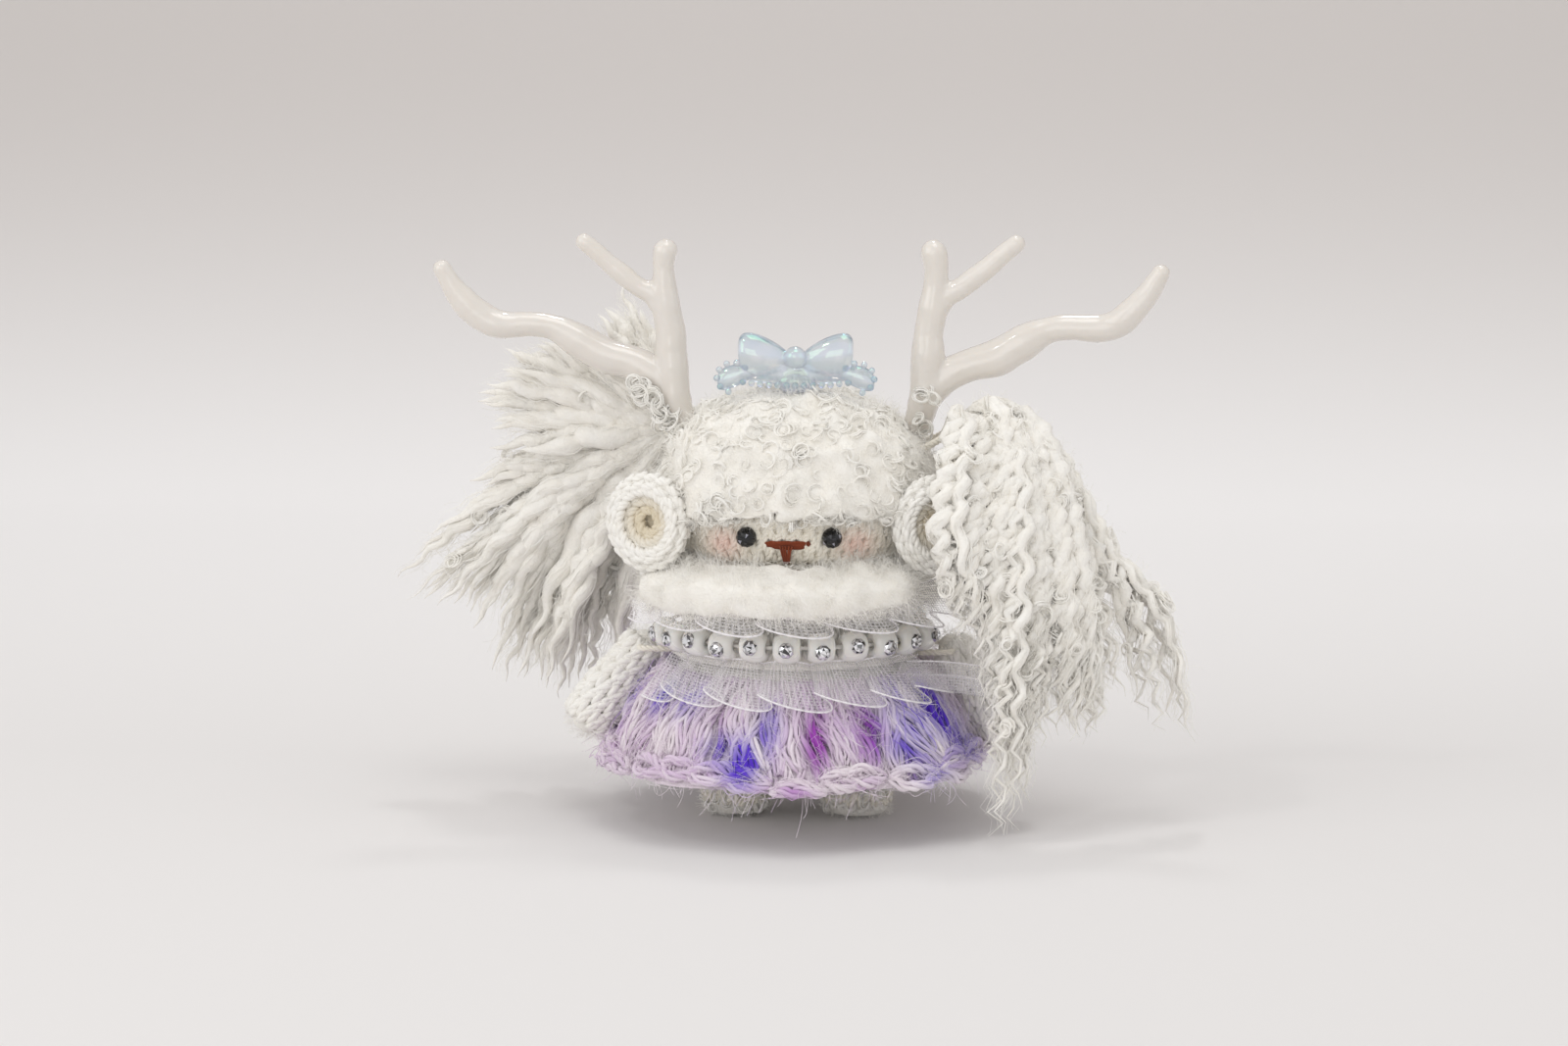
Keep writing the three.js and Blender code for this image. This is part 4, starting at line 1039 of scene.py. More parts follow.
class LAMB_OT_ears(bpy.types.Operator):
    """Makes the cupped crochet ears"""

    bl_idname = "lamb.make_ears"
    bl_label = "Ears"

    turn = math.radians(22)
    half_width = 8.45

    # Rings of stitches: share of the rim's radius, level along the axis, and how far the V opens.
    rings = (
        (0.3, 1.0, 0.7), (0.55, 1.7, 0.9), (0.78, 3.0, 1.0),
        (0.97, 2.0, 1.0), (0.95, 0.4, 0.9), (0.66, -0.9, 1.0),
    )

    def execute(self, context):
        yarn = context.scene.lamb_yarn
        rng = np.random.default_rng(41)
        # The inner cream is partly the yarn's colour and partly painted shade in the hollow of the cup.
        inner = np.array(srgb(230, 220, 198))
        finish = wool_finish("ear_yarn", yarn.shadow)
        ground = felt_finish("ear_ground", tuple(inner), tuple(inner * 0.92))
        for side, name in SIDES:
            node = f"{name}_ear"
            ear = soft_copy(f"{name}_ear_wool", node, voxel=0.5, smoothing=3, inset=0.4)
            dress(ear, ground, stands_for=[node])
            low, high = corners_mm(node)
            axis = np.array([side * math.sin(self.turn), -math.cos(self.turn), 0.0])
            outer = high[0] if side > 0 else low[0]
            rim = (high[2] - low[2]) / 2
            middle = (low + high) / 2
            centre = np.array([outer - side * self.half_width, middle[1] + 1.2, middle[2]])

            # Painted shade: the inner tone in the middle of the cup, fading to white towards the rim.
            def shade(points, centre=centre, rim=rim):
                away = np.linalg.norm(points - centre, axis=-1)
                share = ease(0.25 * rim, 0.8 * rim, away)[..., None]
                return inner + share * (np.array(yarn.white) - inner)

            skin = Skin(ear)
            lines = []
            for share, level, spread in self.rings:
                lines.extend(self.ring(skin, centre, axis, share * (rim - 0.6), level, spread))
            dress(yarn_object(f"{name}_ear_stitches", np.array(lines), 0.85, shade), finish)
            roots, normals = scatter(ear, 110, rng)
            roots = roots + 0.8 * normals
            hairs = tufts(roots, normals, hairs=14, length=2.0, width=0.5, rng=rng, spread=0.8, bend=2.0)
            dress(strand_object(f"{name}_ear_fuzz", hairs, 0.032, shade(hairs)), finish)
        return {"FINISHED"}

    def ring(self, skin, centre, axis, radius, level, spread):
        """V stitches in a ring round the ear, where it stands clear of the head."""
        across = np.cross(UP, axis)
        count = max(5, round(FULL_TURN * radius / 2.7))
        lines = []
        for number in range(count):
            for side in (-1, 1):
                line = []
                for share in np.linspace(0, 1, 7):
                    turn = FULL_TURN * (number + 1.3 * share) / count
                    out = radius + side * spread * (1 - share) ** 0.8
                    place = centre + out * (0.91 * math.cos(turn) * across + math.sin(turn) * UP)
                    line.append(place + (level + 0.35 * math.sin(math.pi * share)) * axis)
                if max(np.linalg.norm(skin.nearest(p)[0] - p) for p in line) < 2.4:
                    lines.append(line)
        return lines


class LAMB_OT_antlers(bpy.types.Operator):
    """Makes the glossy moulded antlers"""

    bl_idname = "lamb.make_antlers"
    bl_label = "Antlers"

    # Branches from the foot of the right antler: points outwards, back and up, with the radius at each.
    branches = (
        (
            (-4, 0, -8, 2.2), (-1.5, 0, -4, 2.2), (0, 0, 0, 2.4), (1.5, 0.2, 5, 2.9), (1.8, 0.3, 11, 3.0),
            (2.1, 0.4, 17.3, 2.7), (3, 0.2, 23.4, 2.8), (3.5, 0, 28, 2.3), (3.6, -0.2, 31.6, 2.1),
            (3.2, -0.4, 34.4, 2.3),
        ),
        (
            (3, 0.2, 22.5, 2.5), (5.6, 0.2, 25.6, 2.2), (8.8, 0, 27.4, 2.0), (13.3, -0.4, 31, 1.9),
            (17, -0.8, 34.2, 1.75), (19.7, -1.2, 36.4, 1.6),
        ),
        (
            (0.8, 0.2, 3.6, 2.6), (4.6, 0.6, 8.2, 2.8), (10, 1.2, 11.4, 3.0), (16, 1.6, 13.2, 3.2),
            (21.5, 1.6, 16.2, 3.3), (26, 1.4, 18.6, 2.4), (31, 1, 19.4, 2.3), (37, 0.6, 19.2, 2.5),
            (41.5, 0.2, 21, 2.6), (45.6, -0.4, 25.2, 2.1), (48.9, -1, 30.6, 1.7),
        ),
    )

    def execute(self, context):
        trim = context.scene.lamb_trim
        rng = np.random.default_rng(53)
        finish = Finish("antler_plastic", Coat_Weight=0.9, Coat_Roughness=0.04, IOR=1.5)
        finish.set(Subsurface_Weight=0.2, Subsurface_Radius=(1.0, 0.85, 0.7), Subsurface_Scale=0.0012)
        haze = finish.noise(9.0)
        ripple = finish.noise(2.6, 1.0)
        warm = tuple(np.array(trim.antler) * [0.97, 0.955, 0.925])
        finish.set(Base_Color=finish.mix(haze, trim.antler, warm))
        finish.set(Roughness=0.1 + 0.16 * haze, Normal=finish.bump(ripple, 0.3, 0.5))
        for side, name in SIDES:
            self.antler(name, side, finish.material, rng)
        return {"FINISHED"}

    def antler(self, name, side, material, rng):
        node = f"{name}_antler"
        low, high = corners_mm(node)
        tip = high[0] if side > 0 else -low[0]
        foot = np.array([side * (tip - 50.2), (low[1] + high[1]) / 2 - 0.7, high[2] - 37.3])
        shape = bmesh.new()
        for branch in self.branches:
            given = np.array(branch)
            line, _ = smooth_line(given[:, :3], 60)
            run = np.concatenate([[0], np.cumsum(np.linalg.norm(np.diff(given[:, :3], axis=0), axis=1))])
            radii = np.interp(np.linspace(0, 1, 60), run / run[-1], given[:, 3])
            for point, radius in zip(line, radii):
                made = bmesh.ops.create_icosphere(shape, subdivisions=2, radius=1.16 * radius)
                centre = foot + point * [side, 1, 1]
                for vertex in made["verts"]:
                    vertex.co = (vertex.co + Vector(centre)) * MM
        name = f"{node}_moulding"
        antler = remeshed(link(name, mesh_from(name, shape)), voxel=0.42, smoothing=8)
        lumpy(antler, 130, height=0.3, width=2.0, rng=rng)
        dress(antler, material, stands_for=[node])


class LAMB_OT_bow(bpy.types.Operator):
    """Makes the clear moulded bow"""

    bl_idname = "lamb.make_bow"
    bl_label = "Bow"

    def execute(self, context):
        trim = context.scene.lamb_trim
        low, high = corners_mm("hair_bow")
        middle = np.array([0.0, (low[1] + high[1]) / 2 - 0.4, high[2] - 6.0])
        shape = bmesh.new()
        self.ball(shape, middle + [0, -1.8, 0.6], (2.3, 2.3, 2.3))
        half = (high[0] - low[0]) / 2
        for side in (-1, 1):
            self.loop(shape, middle, side, 1.2, 0.72 * half, thin=2.7, thick=5.2, rise=2.0, drop=0.3)
            self.loop(shape, middle, side, 0.48 * half, half - 0.3, thin=1.6, thick=2.9, rise=-2.4, drop=2.0)
        self.ball(shape, middle + [0, 0.8, -3.0], (0.8 * half, 1.7, 2.2))
        self.ball(shape, middle + [0, 0.8, -4.6], (4.2, 2.4, 2.4))
        bow = remeshed(link("bow_moulding", mesh_from("bow_moulding", shape)), voxel=0.26, smoothing=4)
        finish = Finish("clear_rainbow_plastic", Roughness=0.03, IOR=1.45, Transmission_Weight=0.8)
        finish.set(Coat_Weight=1.0, Coat_Roughness=0.02, Specular_IOR_Level=0.9)
        finish.set(Thin_Film_Thickness=380.0, Thin_Film_IOR=1.8)
        # Noise paints whiter patches into the blue tint as a painted sheen.
        sheen = finish.noise(4.0, 1.0)
        finish.set(Base_Color=finish.mix(sheen, trim.bow, srgb(252, 248, 255)))
        dress(bow, finish.material, stands_for=["hair_bow"])
        self.beaded_edge(middle, half, finish.material)
        return {"FINISHED"}

    def ball(self, shape, centre, radii):
        made = bmesh.ops.create_uvsphere(shape, u_segments=24, v_segments=14, radius=1.0)
        for vertex in made["verts"]:
            vertex.co = Vector(centre + np.array(vertex.co) * radii) * MM

    def loop(self, shape, middle, side, start, end, thin, thick, rise, drop):
        made = bmesh.ops.create_uvsphere(shape, u_segments=28, v_segments=20, radius=1.0)
        for vertex in made["verts"]:
            x, y, z = vertex.co
            out = (z + 1) / 2
            full = (thin + (thick - thin) * out) * max(1 - z * z, 1e-3) ** -0.24
            pinch = 1 - 0.35 * max(0.0, x) * out
            along, up = side * (start + (end - start) * out), full * x + rise * out - drop
            vertex.co = Vector(middle + [along, 0.62 * full * y * pinch, up]) * MM
        if side > 0:
            bmesh.ops.reverse_faces(shape, faces=list({f for v in made["verts"] for f in v.link_faces}))

    def beaded_edge(self, middle, half, material):
        shape = bmesh.new()
        places = []
        for share in np.linspace(-0.8, 0.8, 13):
            arch = math.sqrt(1 - share * share)
            places.append([share * 0.82 * half, 0.4 - 1.9 * arch, -3.6 - 1.5 * arch])
        for side in (-1, 1):
            for turn in np.linspace(-0.4 * math.pi, 0.75 * math.pi, 7):
                x = side * (0.77 * half + 3.4 * math.cos(turn))
                places.append([x, -1.0, -3.6 + 3.0 * math.sin(turn)])
        for place in places:
            made = bmesh.ops.create_uvsphere(shape, u_segments=10, v_segments=7, radius=0.7)
            for vertex in made["verts"]:
                vertex.co = (vertex.co + Vector(middle + place)) * MM
        mesh = mesh_from("bow_beaded_edge", shape)
        mesh.polygons.foreach_set("use_smooth", [True] * len(mesh.polygons))
        dress(link("bow_beaded_edge", mesh), material)


class LAMB_OT_skirt(bpy.types.Operator):
    """Makes the crochet yoke and the mohair skirt"""

    bl_idname = "lamb.make_skirt"
    bl_label = "Yoke and skirt"

    # Colour patches: degrees round from the front, share of the way down, half sizes, tone, strength.
    patches = (
        (-50, 0.2, 4, 0.12, "violet", 0.85),
        (-36, 0.2, 5, 0.12, "violet", 0.55),
        (-88, 0.3, 8, 0.25, "violet", 0.9),
        (-11.5, 0.72, 4.2, 0.16, "violet", 1.0),
        (-20, 0.62, 4, 0.1, "violet", 0.5),
        (-5, 0.4, 3, 0.16, "violet", 0.6),
        (10, 0.5, 2.5, 0.2, "magenta", 0.9),
        (28, 0.42, 3.5, 0.2, "magenta", 0.75),
        (51, 0.36, 13, 0.25, "violet", 0.85),
        (66, 0.7, 7, 0.16, "violet", 0.7),
        (38, 0.62, 5, 0.1, "violet", 0.6),
        (3, 0.98, 4, 0.08, "magenta", 0.7),
        (21, 0.98, 4, 0.07, "magenta", 0.65),
        (44, 0.92, 4, 0.1, "violet", 0.6),
        (120, 0.5, 10, 0.25, "magenta", 0.7),
        (160, 0.4, 12, 0.3, "violet", 0.85),
        (-165, 0.75, 8, 0.2, "magenta", 0.6),
        (-130, 0.5, 12, 0.3, "violet", 0.9),
    )

    plies = 4
    loose = 5

    def execute(self, context):
        yarn, self.cloth = context.scene.lamb_yarn, context.scene.lamb_dress
        self.thick, self.thin = [], []
        rng = np.random.default_rng(67)
        self.yoke(yarn)
        low, high = corners_mm("skirt")
        self.top, self.hem = high[2] - 1.0, low[2] + 1.0
        ground = soft_copy("skirt_ground", "skirt", voxel=0.85, smoothing=4, inset=0.5)
        points = points_of(ground)
        paint(ground.data, self.shade(points, np.full(len(points), -0.8), 0.7))
        felt = Finish("mohair_ground", Roughness=0.95, Sheen_Weight=0.3, Specular_IOR_Level=0.1)
        nap = felt.noise(0.6, 3.0)
        felt.set(Base_Color=felt.mix(0.4 * nap, felt.tint(), (0.86, 0.82, 0.88), "MULTIPLY"))
        felt.set(Normal=felt.bump(nap, 0.5))
        dress(ground, felt.material, stands_for=["skirt"])
        self.skin = Skin(ground).around(np.zeros(3), UP, FRONT)
        self.mohair = wool_finish("mohair_strands", (0.95, 0.92, 0.96), sheen=0.3)
        self.long_stitches(rng)
        self.hem_chain(rng)
        self.halo(rng)
        return {"FINISHED"}

    def yoke(self, yarn):
        band = soft_copy("yoke_wool", "yoke_band", voxel=0.6, smoothing=4, inset=0.5)
        ground = felt_finish("yoke_ground", yarn.white, yarn.shadow)
        dress(band, ground, stands_for=["yoke_band"])
        low, high = corners_mm("yoke_band")
        skin = Skin(band).around(np.zeros(3), UP, FRONT)
        rows = even_rows(low[2] + 1.2, high[2] - 1.0, 2.5, lambda z: FULL_TURN * high[0] * 0.9, 2.7)
        lines = stitch_lines(skin, rows, 2.5, 0.3)
        finish = wool_finish("yoke_yarn", yarn.shadow)
        dress(yarn_object("yoke_stitches", lines, 0.62, yarn.white, plies=2), finish)

    def at(self, angle, share):
        """A point and normal on the skirt, from its top at 0 to its hem at 1."""
        rise = 1.6 * (1 - math.cos(angle)) / 2
        level = self.top + (self.hem + rise - self.top) * share
        found = self.skin(level, angle)
        if found is None:
            raise RuntimeError(f"the skirt has no skin at {angle:.2f}, {level:.1f}")
        return found

    def shade(self, points, drift, strength=1.0):
        """The variegated colour at points on the skirt, with a drift of tone for each strand."""
        cloth = self.cloth
        angle = np.degrees(np.arctan2(points[..., 0], -points[..., 1]))
        down = (self.top - points[..., 2]) / (self.top - self.hem)
        drift = np.asarray(drift).reshape(-1, *[1] * (points.ndim - 2))
        pale = np.clip(0.3 + 0.3 * drift - 0.15 * np.sin(np.radians(angle)), 0, 1)[..., None]
        colour = np.array(cloth.pale) * (1 - pale) + np.array(cloth.lilac) * pale
        for degrees, level, wide, tall, tone, power in self.patches:
            turn = (angle - degrees + 180) % 360 - 180
            away = (turn / wide) ** 2 + ((down - level) / tall) ** 2
            share = np.clip(strength * power * np.exp(-0.6 * away) * (1.0 + 0.35 * drift), 0, 1)[..., None]
            colour = colour + share * (np.array(tuple(getattr(cloth, tone))) - colour)
        return np.clip(colour, 0, 1)

    def yarn_along(self, line, tone, rng):
        """Fluffy yarn along one line: thick wavy plies and finer loose strands, each a bit off the tone."""
        first, second = (ways[0] for ways in side_ways(line[None]))
        share = np.linspace(0, 1, len(line))[:, None]
        turns = rng.uniform(0.6, 1.4)
        for number in range(self.plies + self.loose):
            wave = np.sin(share * rng.uniform(8, 20, size=2) + rng.uniform(0, ANY_PHASE, size=2))
            if number < self.plies:
                turn = FULL_TURN * (turns * share + number / self.plies)
                shift = 0.62 * np.hstack([np.cos(turn), np.sin(turn)]) + 0.16 * wave
            else:
                shift = 0.75 * rng.normal(size=2) + 0.4 * wave
            made = line + shift[:, :1] * first + shift[:, 1:] * second
            (self.thick if number < self.plies else self.thin).append((made, tone + 0.7 * rng.normal()))

    def spin(self, name, radius):
        """Makes the meshes of the yarn laid so far."""
        for kind, laid, size, sides in (("yarn", self.thick, radius, 5), ("strands", self.thin, 0.09, 3)):
            lines = np.array([line for line, _ in laid])
            swell = size * (0.8 + 0.25 * np.sin(np.pi * np.linspace(0, 1, lines.shape[1])))
            shades = self.shade(lines, [tone for _, tone in laid])
            dress(strand_object(f"{name}_{kind}", lines, swell, shades, sides), self.mohair)
        self.thick, self.thin = [], []

    def long_stitches(self, rng):
        """Loops of loose yarn from the top of the skirt to its hem, over a layer of straight yarn."""
        posts = self.cloth.posts
        for post in range(posts):
            middle, tone, wave = FULL_TURN * (post + 0.5) / posts, rng.normal(), rng.uniform(0, ANY_PHASE)
            line = []
            for share in np.linspace(0, 1, 16):
                angle = middle + 0.05 * share + 0.02 * math.sin(9 * share + wave)
                point, normal = self.at(angle, 0.95 * share)
                line.append(point + 0.2 * normal)
            self.yarn_along(np.array(line), tone, rng)
        for post in range(posts):
            middle = FULL_TURN * (post + 0.2 * rng.normal()) / posts
            slant, wide = 0.05 * math.sin(middle) + 0.08 + 0.13 * rng.normal(), rng.uniform(0.8, 2.0)
            begin, end = rng.uniform(0.0, 0.3), rng.uniform(0.72, 0.95)
            tone, wave, puff = rng.normal(), rng.uniform(0, ANY_PHASE), rng.uniform(0.7, 1.7)
            for side in (-1, 1):
                line = []
                for share in np.linspace(0, 1, 16):
                    belly = math.sin(math.pi * share**0.8) ** 0.8
                    angle = middle + slant * share + 0.03 * math.sin(6 * share + wave)
                    angle += side * (0.6 * belly * wide + 0.1) * np.pi / posts
                    point, normal = self.at(angle, begin + (end - begin) * share)
                    line.append(point + (0.45 + puff * math.sin(math.pi * share)) * normal)
                self.yarn_along(np.array(line), tone, rng)
        self.spin("skirt_posts", 0.42)

    def hem_chain(self, rng):
        """A chain of thick loops round the hem."""
        links = self.cloth.links
        for number in range(links):
            start = FULL_TURN * (number + 0.3 * rng.normal()) / links
            tone, drop, puff = rng.normal(), 0.04 * rng.normal(), rng.uniform(0.4, 1.6)
            for side in (-1, 1):
                line = []
                for share in np.linspace(0, 1, 16):
                    angle = start + (1.4 * share - 0.2) * FULL_TURN / links
                    open_up = side * 0.07 * math.sin(math.pi * share) * (1.3 - 0.6 * share)
                    point, normal = self.at(angle, min(0.99, 0.905 + drop + open_up))
                    line.append(point + (0.8 + puff * math.sin(math.pi * share)) * normal)
                self.yarn_along(np.array(line), tone, rng)
        self.spin("skirt_hem_chain", 0.5)

    def halo(self, rng):
        """The haze of fine hairs over the skirt, and long stray ones at its hem."""
        fine, coarse, steps = 0.034, 0.05, 7
        white = np.array(self.cloth.pale)
        for name, count, radius, reach, low, fan, droop in (
            ("haze", self.cloth.halo, fine, 6.5, 0.0, 1.2, -0.2),
            ("hem_haze", 1500, fine, 4.5, 0.86, 1.3, 0),
            ("silver", 320, coarse, 9.0, 0.05, 2.6, -0.3),
            ("strays", 130, coarse, 10.0, 0.86, 0.8, -1.2),
        ):
            roots, normals = [], []
            for _ in range(count):
                point, normal = self.at(rng.uniform(-np.pi, np.pi), rng.uniform(low, 0.99))
                roots.append(point)
                normals.append(normal)
            roots, normals = np.array(roots), np.array(normals)
            hairs = fibres(roots + 1.2 * normals, normals, reach, fan, 2.2, rng, steps, (0, 0, droop))
            above_floor(hairs, 0.3)
            shades = self.shade(np.repeat(roots[:, None], steps, axis=1), rng.normal(size=count))
            shades = shades + 0.65 * (white - shades)
            dress(strand_object(f"skirt_{name}", hairs, radius, shades), self.mohair)


class LAMB_OT_collar(bpy.types.Operator):
    """Makes the fluffy collar"""

    bl_idname = "lamb.make_collar"
    bl_label = "Collar"

    def execute(self, context):
        yarn = context.scene.lamb_yarn
        rng = np.random.default_rng(71)
        collar = soft_copy("collar_core", "fluffy_collar", voxel=0.8, smoothing=4, inset=1.3)
        self.drape(collar)
        lumpy(collar, 320, height=1.3, width=1.8, rng=rng)
        ground = felt_finish("collar_ground", yarn.white, yarn.shadow)
        dress(collar, ground, stands_for=["fluffy_collar"])
        finish = wool_finish("collar_fluff", yarn.shadow, sheen=0.3)
        low, high = corners_mm("fluffy_collar")
        ring = (low + high) / 2
        inner = high[0] - 8
        outer = lambda p, n: (np.hypot(p[:, 0], p[:, 1]) > inner) & (p[:, 2] > ring[2] - 4)
        for number in (1, 2):
            roots, normals = scatter(collar, yarn.collar_fuzz // 2, rng, outer)
            if number == 1:
                hairs = fibres(roots, normals, length=5.4, spread=0.7, bend=2.0, rng=rng, lean=(0, 0, 0.1))
            else:
                hairs = tufts(
                    roots[::12], normals[::12],
                    hairs=12, length=4.4, width=0.5, rng=rng, lean=(0, 0, -0.3), bend=1.6,
                )
            hairs = clear_of_features(hairs)
            shades = uneven(yarn.white, len(hairs), rng)
            taper = np.linspace(1.2, 0.5, hairs.shape[1]) * yarn.fibre / MM
            fluff = strand_object(f"collar_fluff_{number}", hairs, taper, shades)
            dress(fluff, finish)
        return {"FINISHED"}

    def drape(self, collar):
        """Lets the front of the collar swell over the top of the ruffle, lowest at the left and middle.

        Angles are degrees from the front, levels are millimetres above the floor.
        """
        reach, points = 34.6, points_of(collar)
        angle = np.degrees(np.arctan2(points[:, 0], -points[:, 1]))
        radius, level = np.hypot(points[:, 0], points[:, 1]), points[:, 2]
        edge = 44.2 + 3.5 * ease(5, 45, angle) + 0.8 * np.sin(np.radians(7 * angle))
        share = ease(-82, -58, angle) * (1 - ease(38, 64, angle)) * ease(24, 29, radius)
        share = share * ease(edge - 1.2, edge + 0.8, level) * (1 - ease(50.5, 55, level))
        wider = radius + share * np.maximum(reach - radius, 0)
        points[:, :2] *= (wider / np.maximum(radius, 1e-6))[:, None]
        move_points(collar, points)


class LAMB_OT_ruffles(bpy.types.Operator):
    """Makes the gathered organza ruffles and the free end of the ribbon"""

    bl_idname = "lamb.make_ruffles"
    bl_label = "Ruffles"

    def execute(self, context):
        cloth = context.scene.lamb_dress
        self.ribbon = self.organza(cloth)
        self.edge = wool_finish("ribbon_selvedge", (0.95, 0.95, 0.96), sheen=0.0)
        self.white = cloth.ribbon
        upper, lower, yoke = (corners_mm(node)[1] for node in ("upper_ruffle", "lower_ruffle", "yoke_band"))
        self.ruffle(
            "upper_ruffle", upper[0] - 3.4, upper[2] + 0.7,
            flare=30, wide=7.8, degrees=146, folds=6, depth=2.7, overlap=3.7, droop=1.8,
        )
        self.ruffle(
            "lower_ruffle", yoke[0] + 0.8, lower[2] + 0.2,
            flare=48, wide=9.8, degrees=116, folds=6, depth=3.3, overlap=4.2, droop=2.6,
        )
        self.tail()
        return {"FINISHED"}

    def organza(self, cloth):
        finish = Finish("organza", Roughness=0.4, Sheen_Weight=0.2, Specular_IOR_Level=0.4)
        where = finish.node("ShaderNodeUVMap", {"uv_map": WEAVE_MAP})["UV"]
        split = finish.node("ShaderNodeSeparateXYZ", None, {"Vector": where})
        pitch = 0.6
        warp = (split["X"] * (FULL_TURN / pitch)).sine()
        weft = (split["Y"] * (FULL_TURN / pitch)).sine()
        threads = (0.5 + 0.5 * warp).larger(0.5 + 0.5 * weft) ** 2.0
        cloud = finish.noise(5.0)
        finish.set(Base_Color=finish.mix(0.25 * cloud, cloth.ribbon, (0.86, 0.84, 0.88)))
        finish.set(Alpha=0.03 + 0.4 * threads + 0.06 * cloud, Normal=finish.bump(threads, 0.06, 0.3))
        return finish.material

    def ruffle(self, node, top_radius, top, flare, wide, degrees, folds, depth, overlap, droop):
        """A ribbon pleated along its top edge: tongues that lap over each other and droop to one side."""
        rows, columns = 13, folds * 44 + 1
        s = np.linspace(0, 1, columns)[None]
        t = np.linspace(0, 1, rows)[:, None]
        phase = FULL_TURN * folds * s + 0.35 * np.sin(FULL_TURN * 2.3 * s + 0.7)
        big = 1 + 0.16 * np.sin(FULL_TURN * 3.7 * s + 1.1)
        sway = depth * big * (0.35 + 0.65 * t) * np.cos(phase)
        out, down = math.sin(math.radians(flare)), math.cos(math.radians(flare))
        radius = top_radius + wide * t * out + sway * down
        height = top - wide * t * down + 0.6 * sway * out - droop * big * t * np.sin(phase + 0.95)
        lean = overlap * big * (0.45 + 0.55 * t) * np.sin(phase) + 2.0 * t
        angle = (s - 0.5) * math.radians(degrees) + lean / (top_radius + wide * out)
        self.sheet(node, np.stack([radius * np.sin(angle), -radius * np.cos(angle), height], axis=-1))

    def sheet(self, node, points):
        ribbon = grid_object(f"{node}_organza", points)
        dress(ribbon, self.ribbon, stands_for=[node])
        edges = np.stack([points[0], points[-1]])
        threads = plied(edges, 0.07, 2, points.shape[1] / 5)
        hem = strand_object(f"{node}_selvedge", threads, 0.13, self.white, 6)
        dress(hem, self.edge)
        wide = np.linalg.norm(np.diff(points, axis=0), axis=-1).sum(0).mean() * MM
        wide = max(wide, 0.01)

    def tail(self):
        low, high = corners_mm("ribbon_tail")
        start, end = low[0] - 1.0, high[0]
        rows, columns = 15, 48
        s = np.linspace(0, 1, columns)[None]
        t = np.linspace(0, 1, rows)[:, None]
        x = start + (end - start) * s + 0 * t
        front = (low[1] + high[1]) / 2
        wide = 6.4
        fold = np.clip((t - 0.66) / 0.34, 0, 1)
        z = high[2] - 0.2 - wide * np.minimum(t / 0.66, 1) + 0.55 * wide * fold - 1.6 * s * s + 0 * x
        y = front - 1.0 + 1.2 * np.sin(4.5 * s) + 0.7 * np.sin(np.pi * fold) + 0.8 * fold + 0 * x
        self.sheet("ribbon_tail", np.stack([x, y, z], axis=-1))


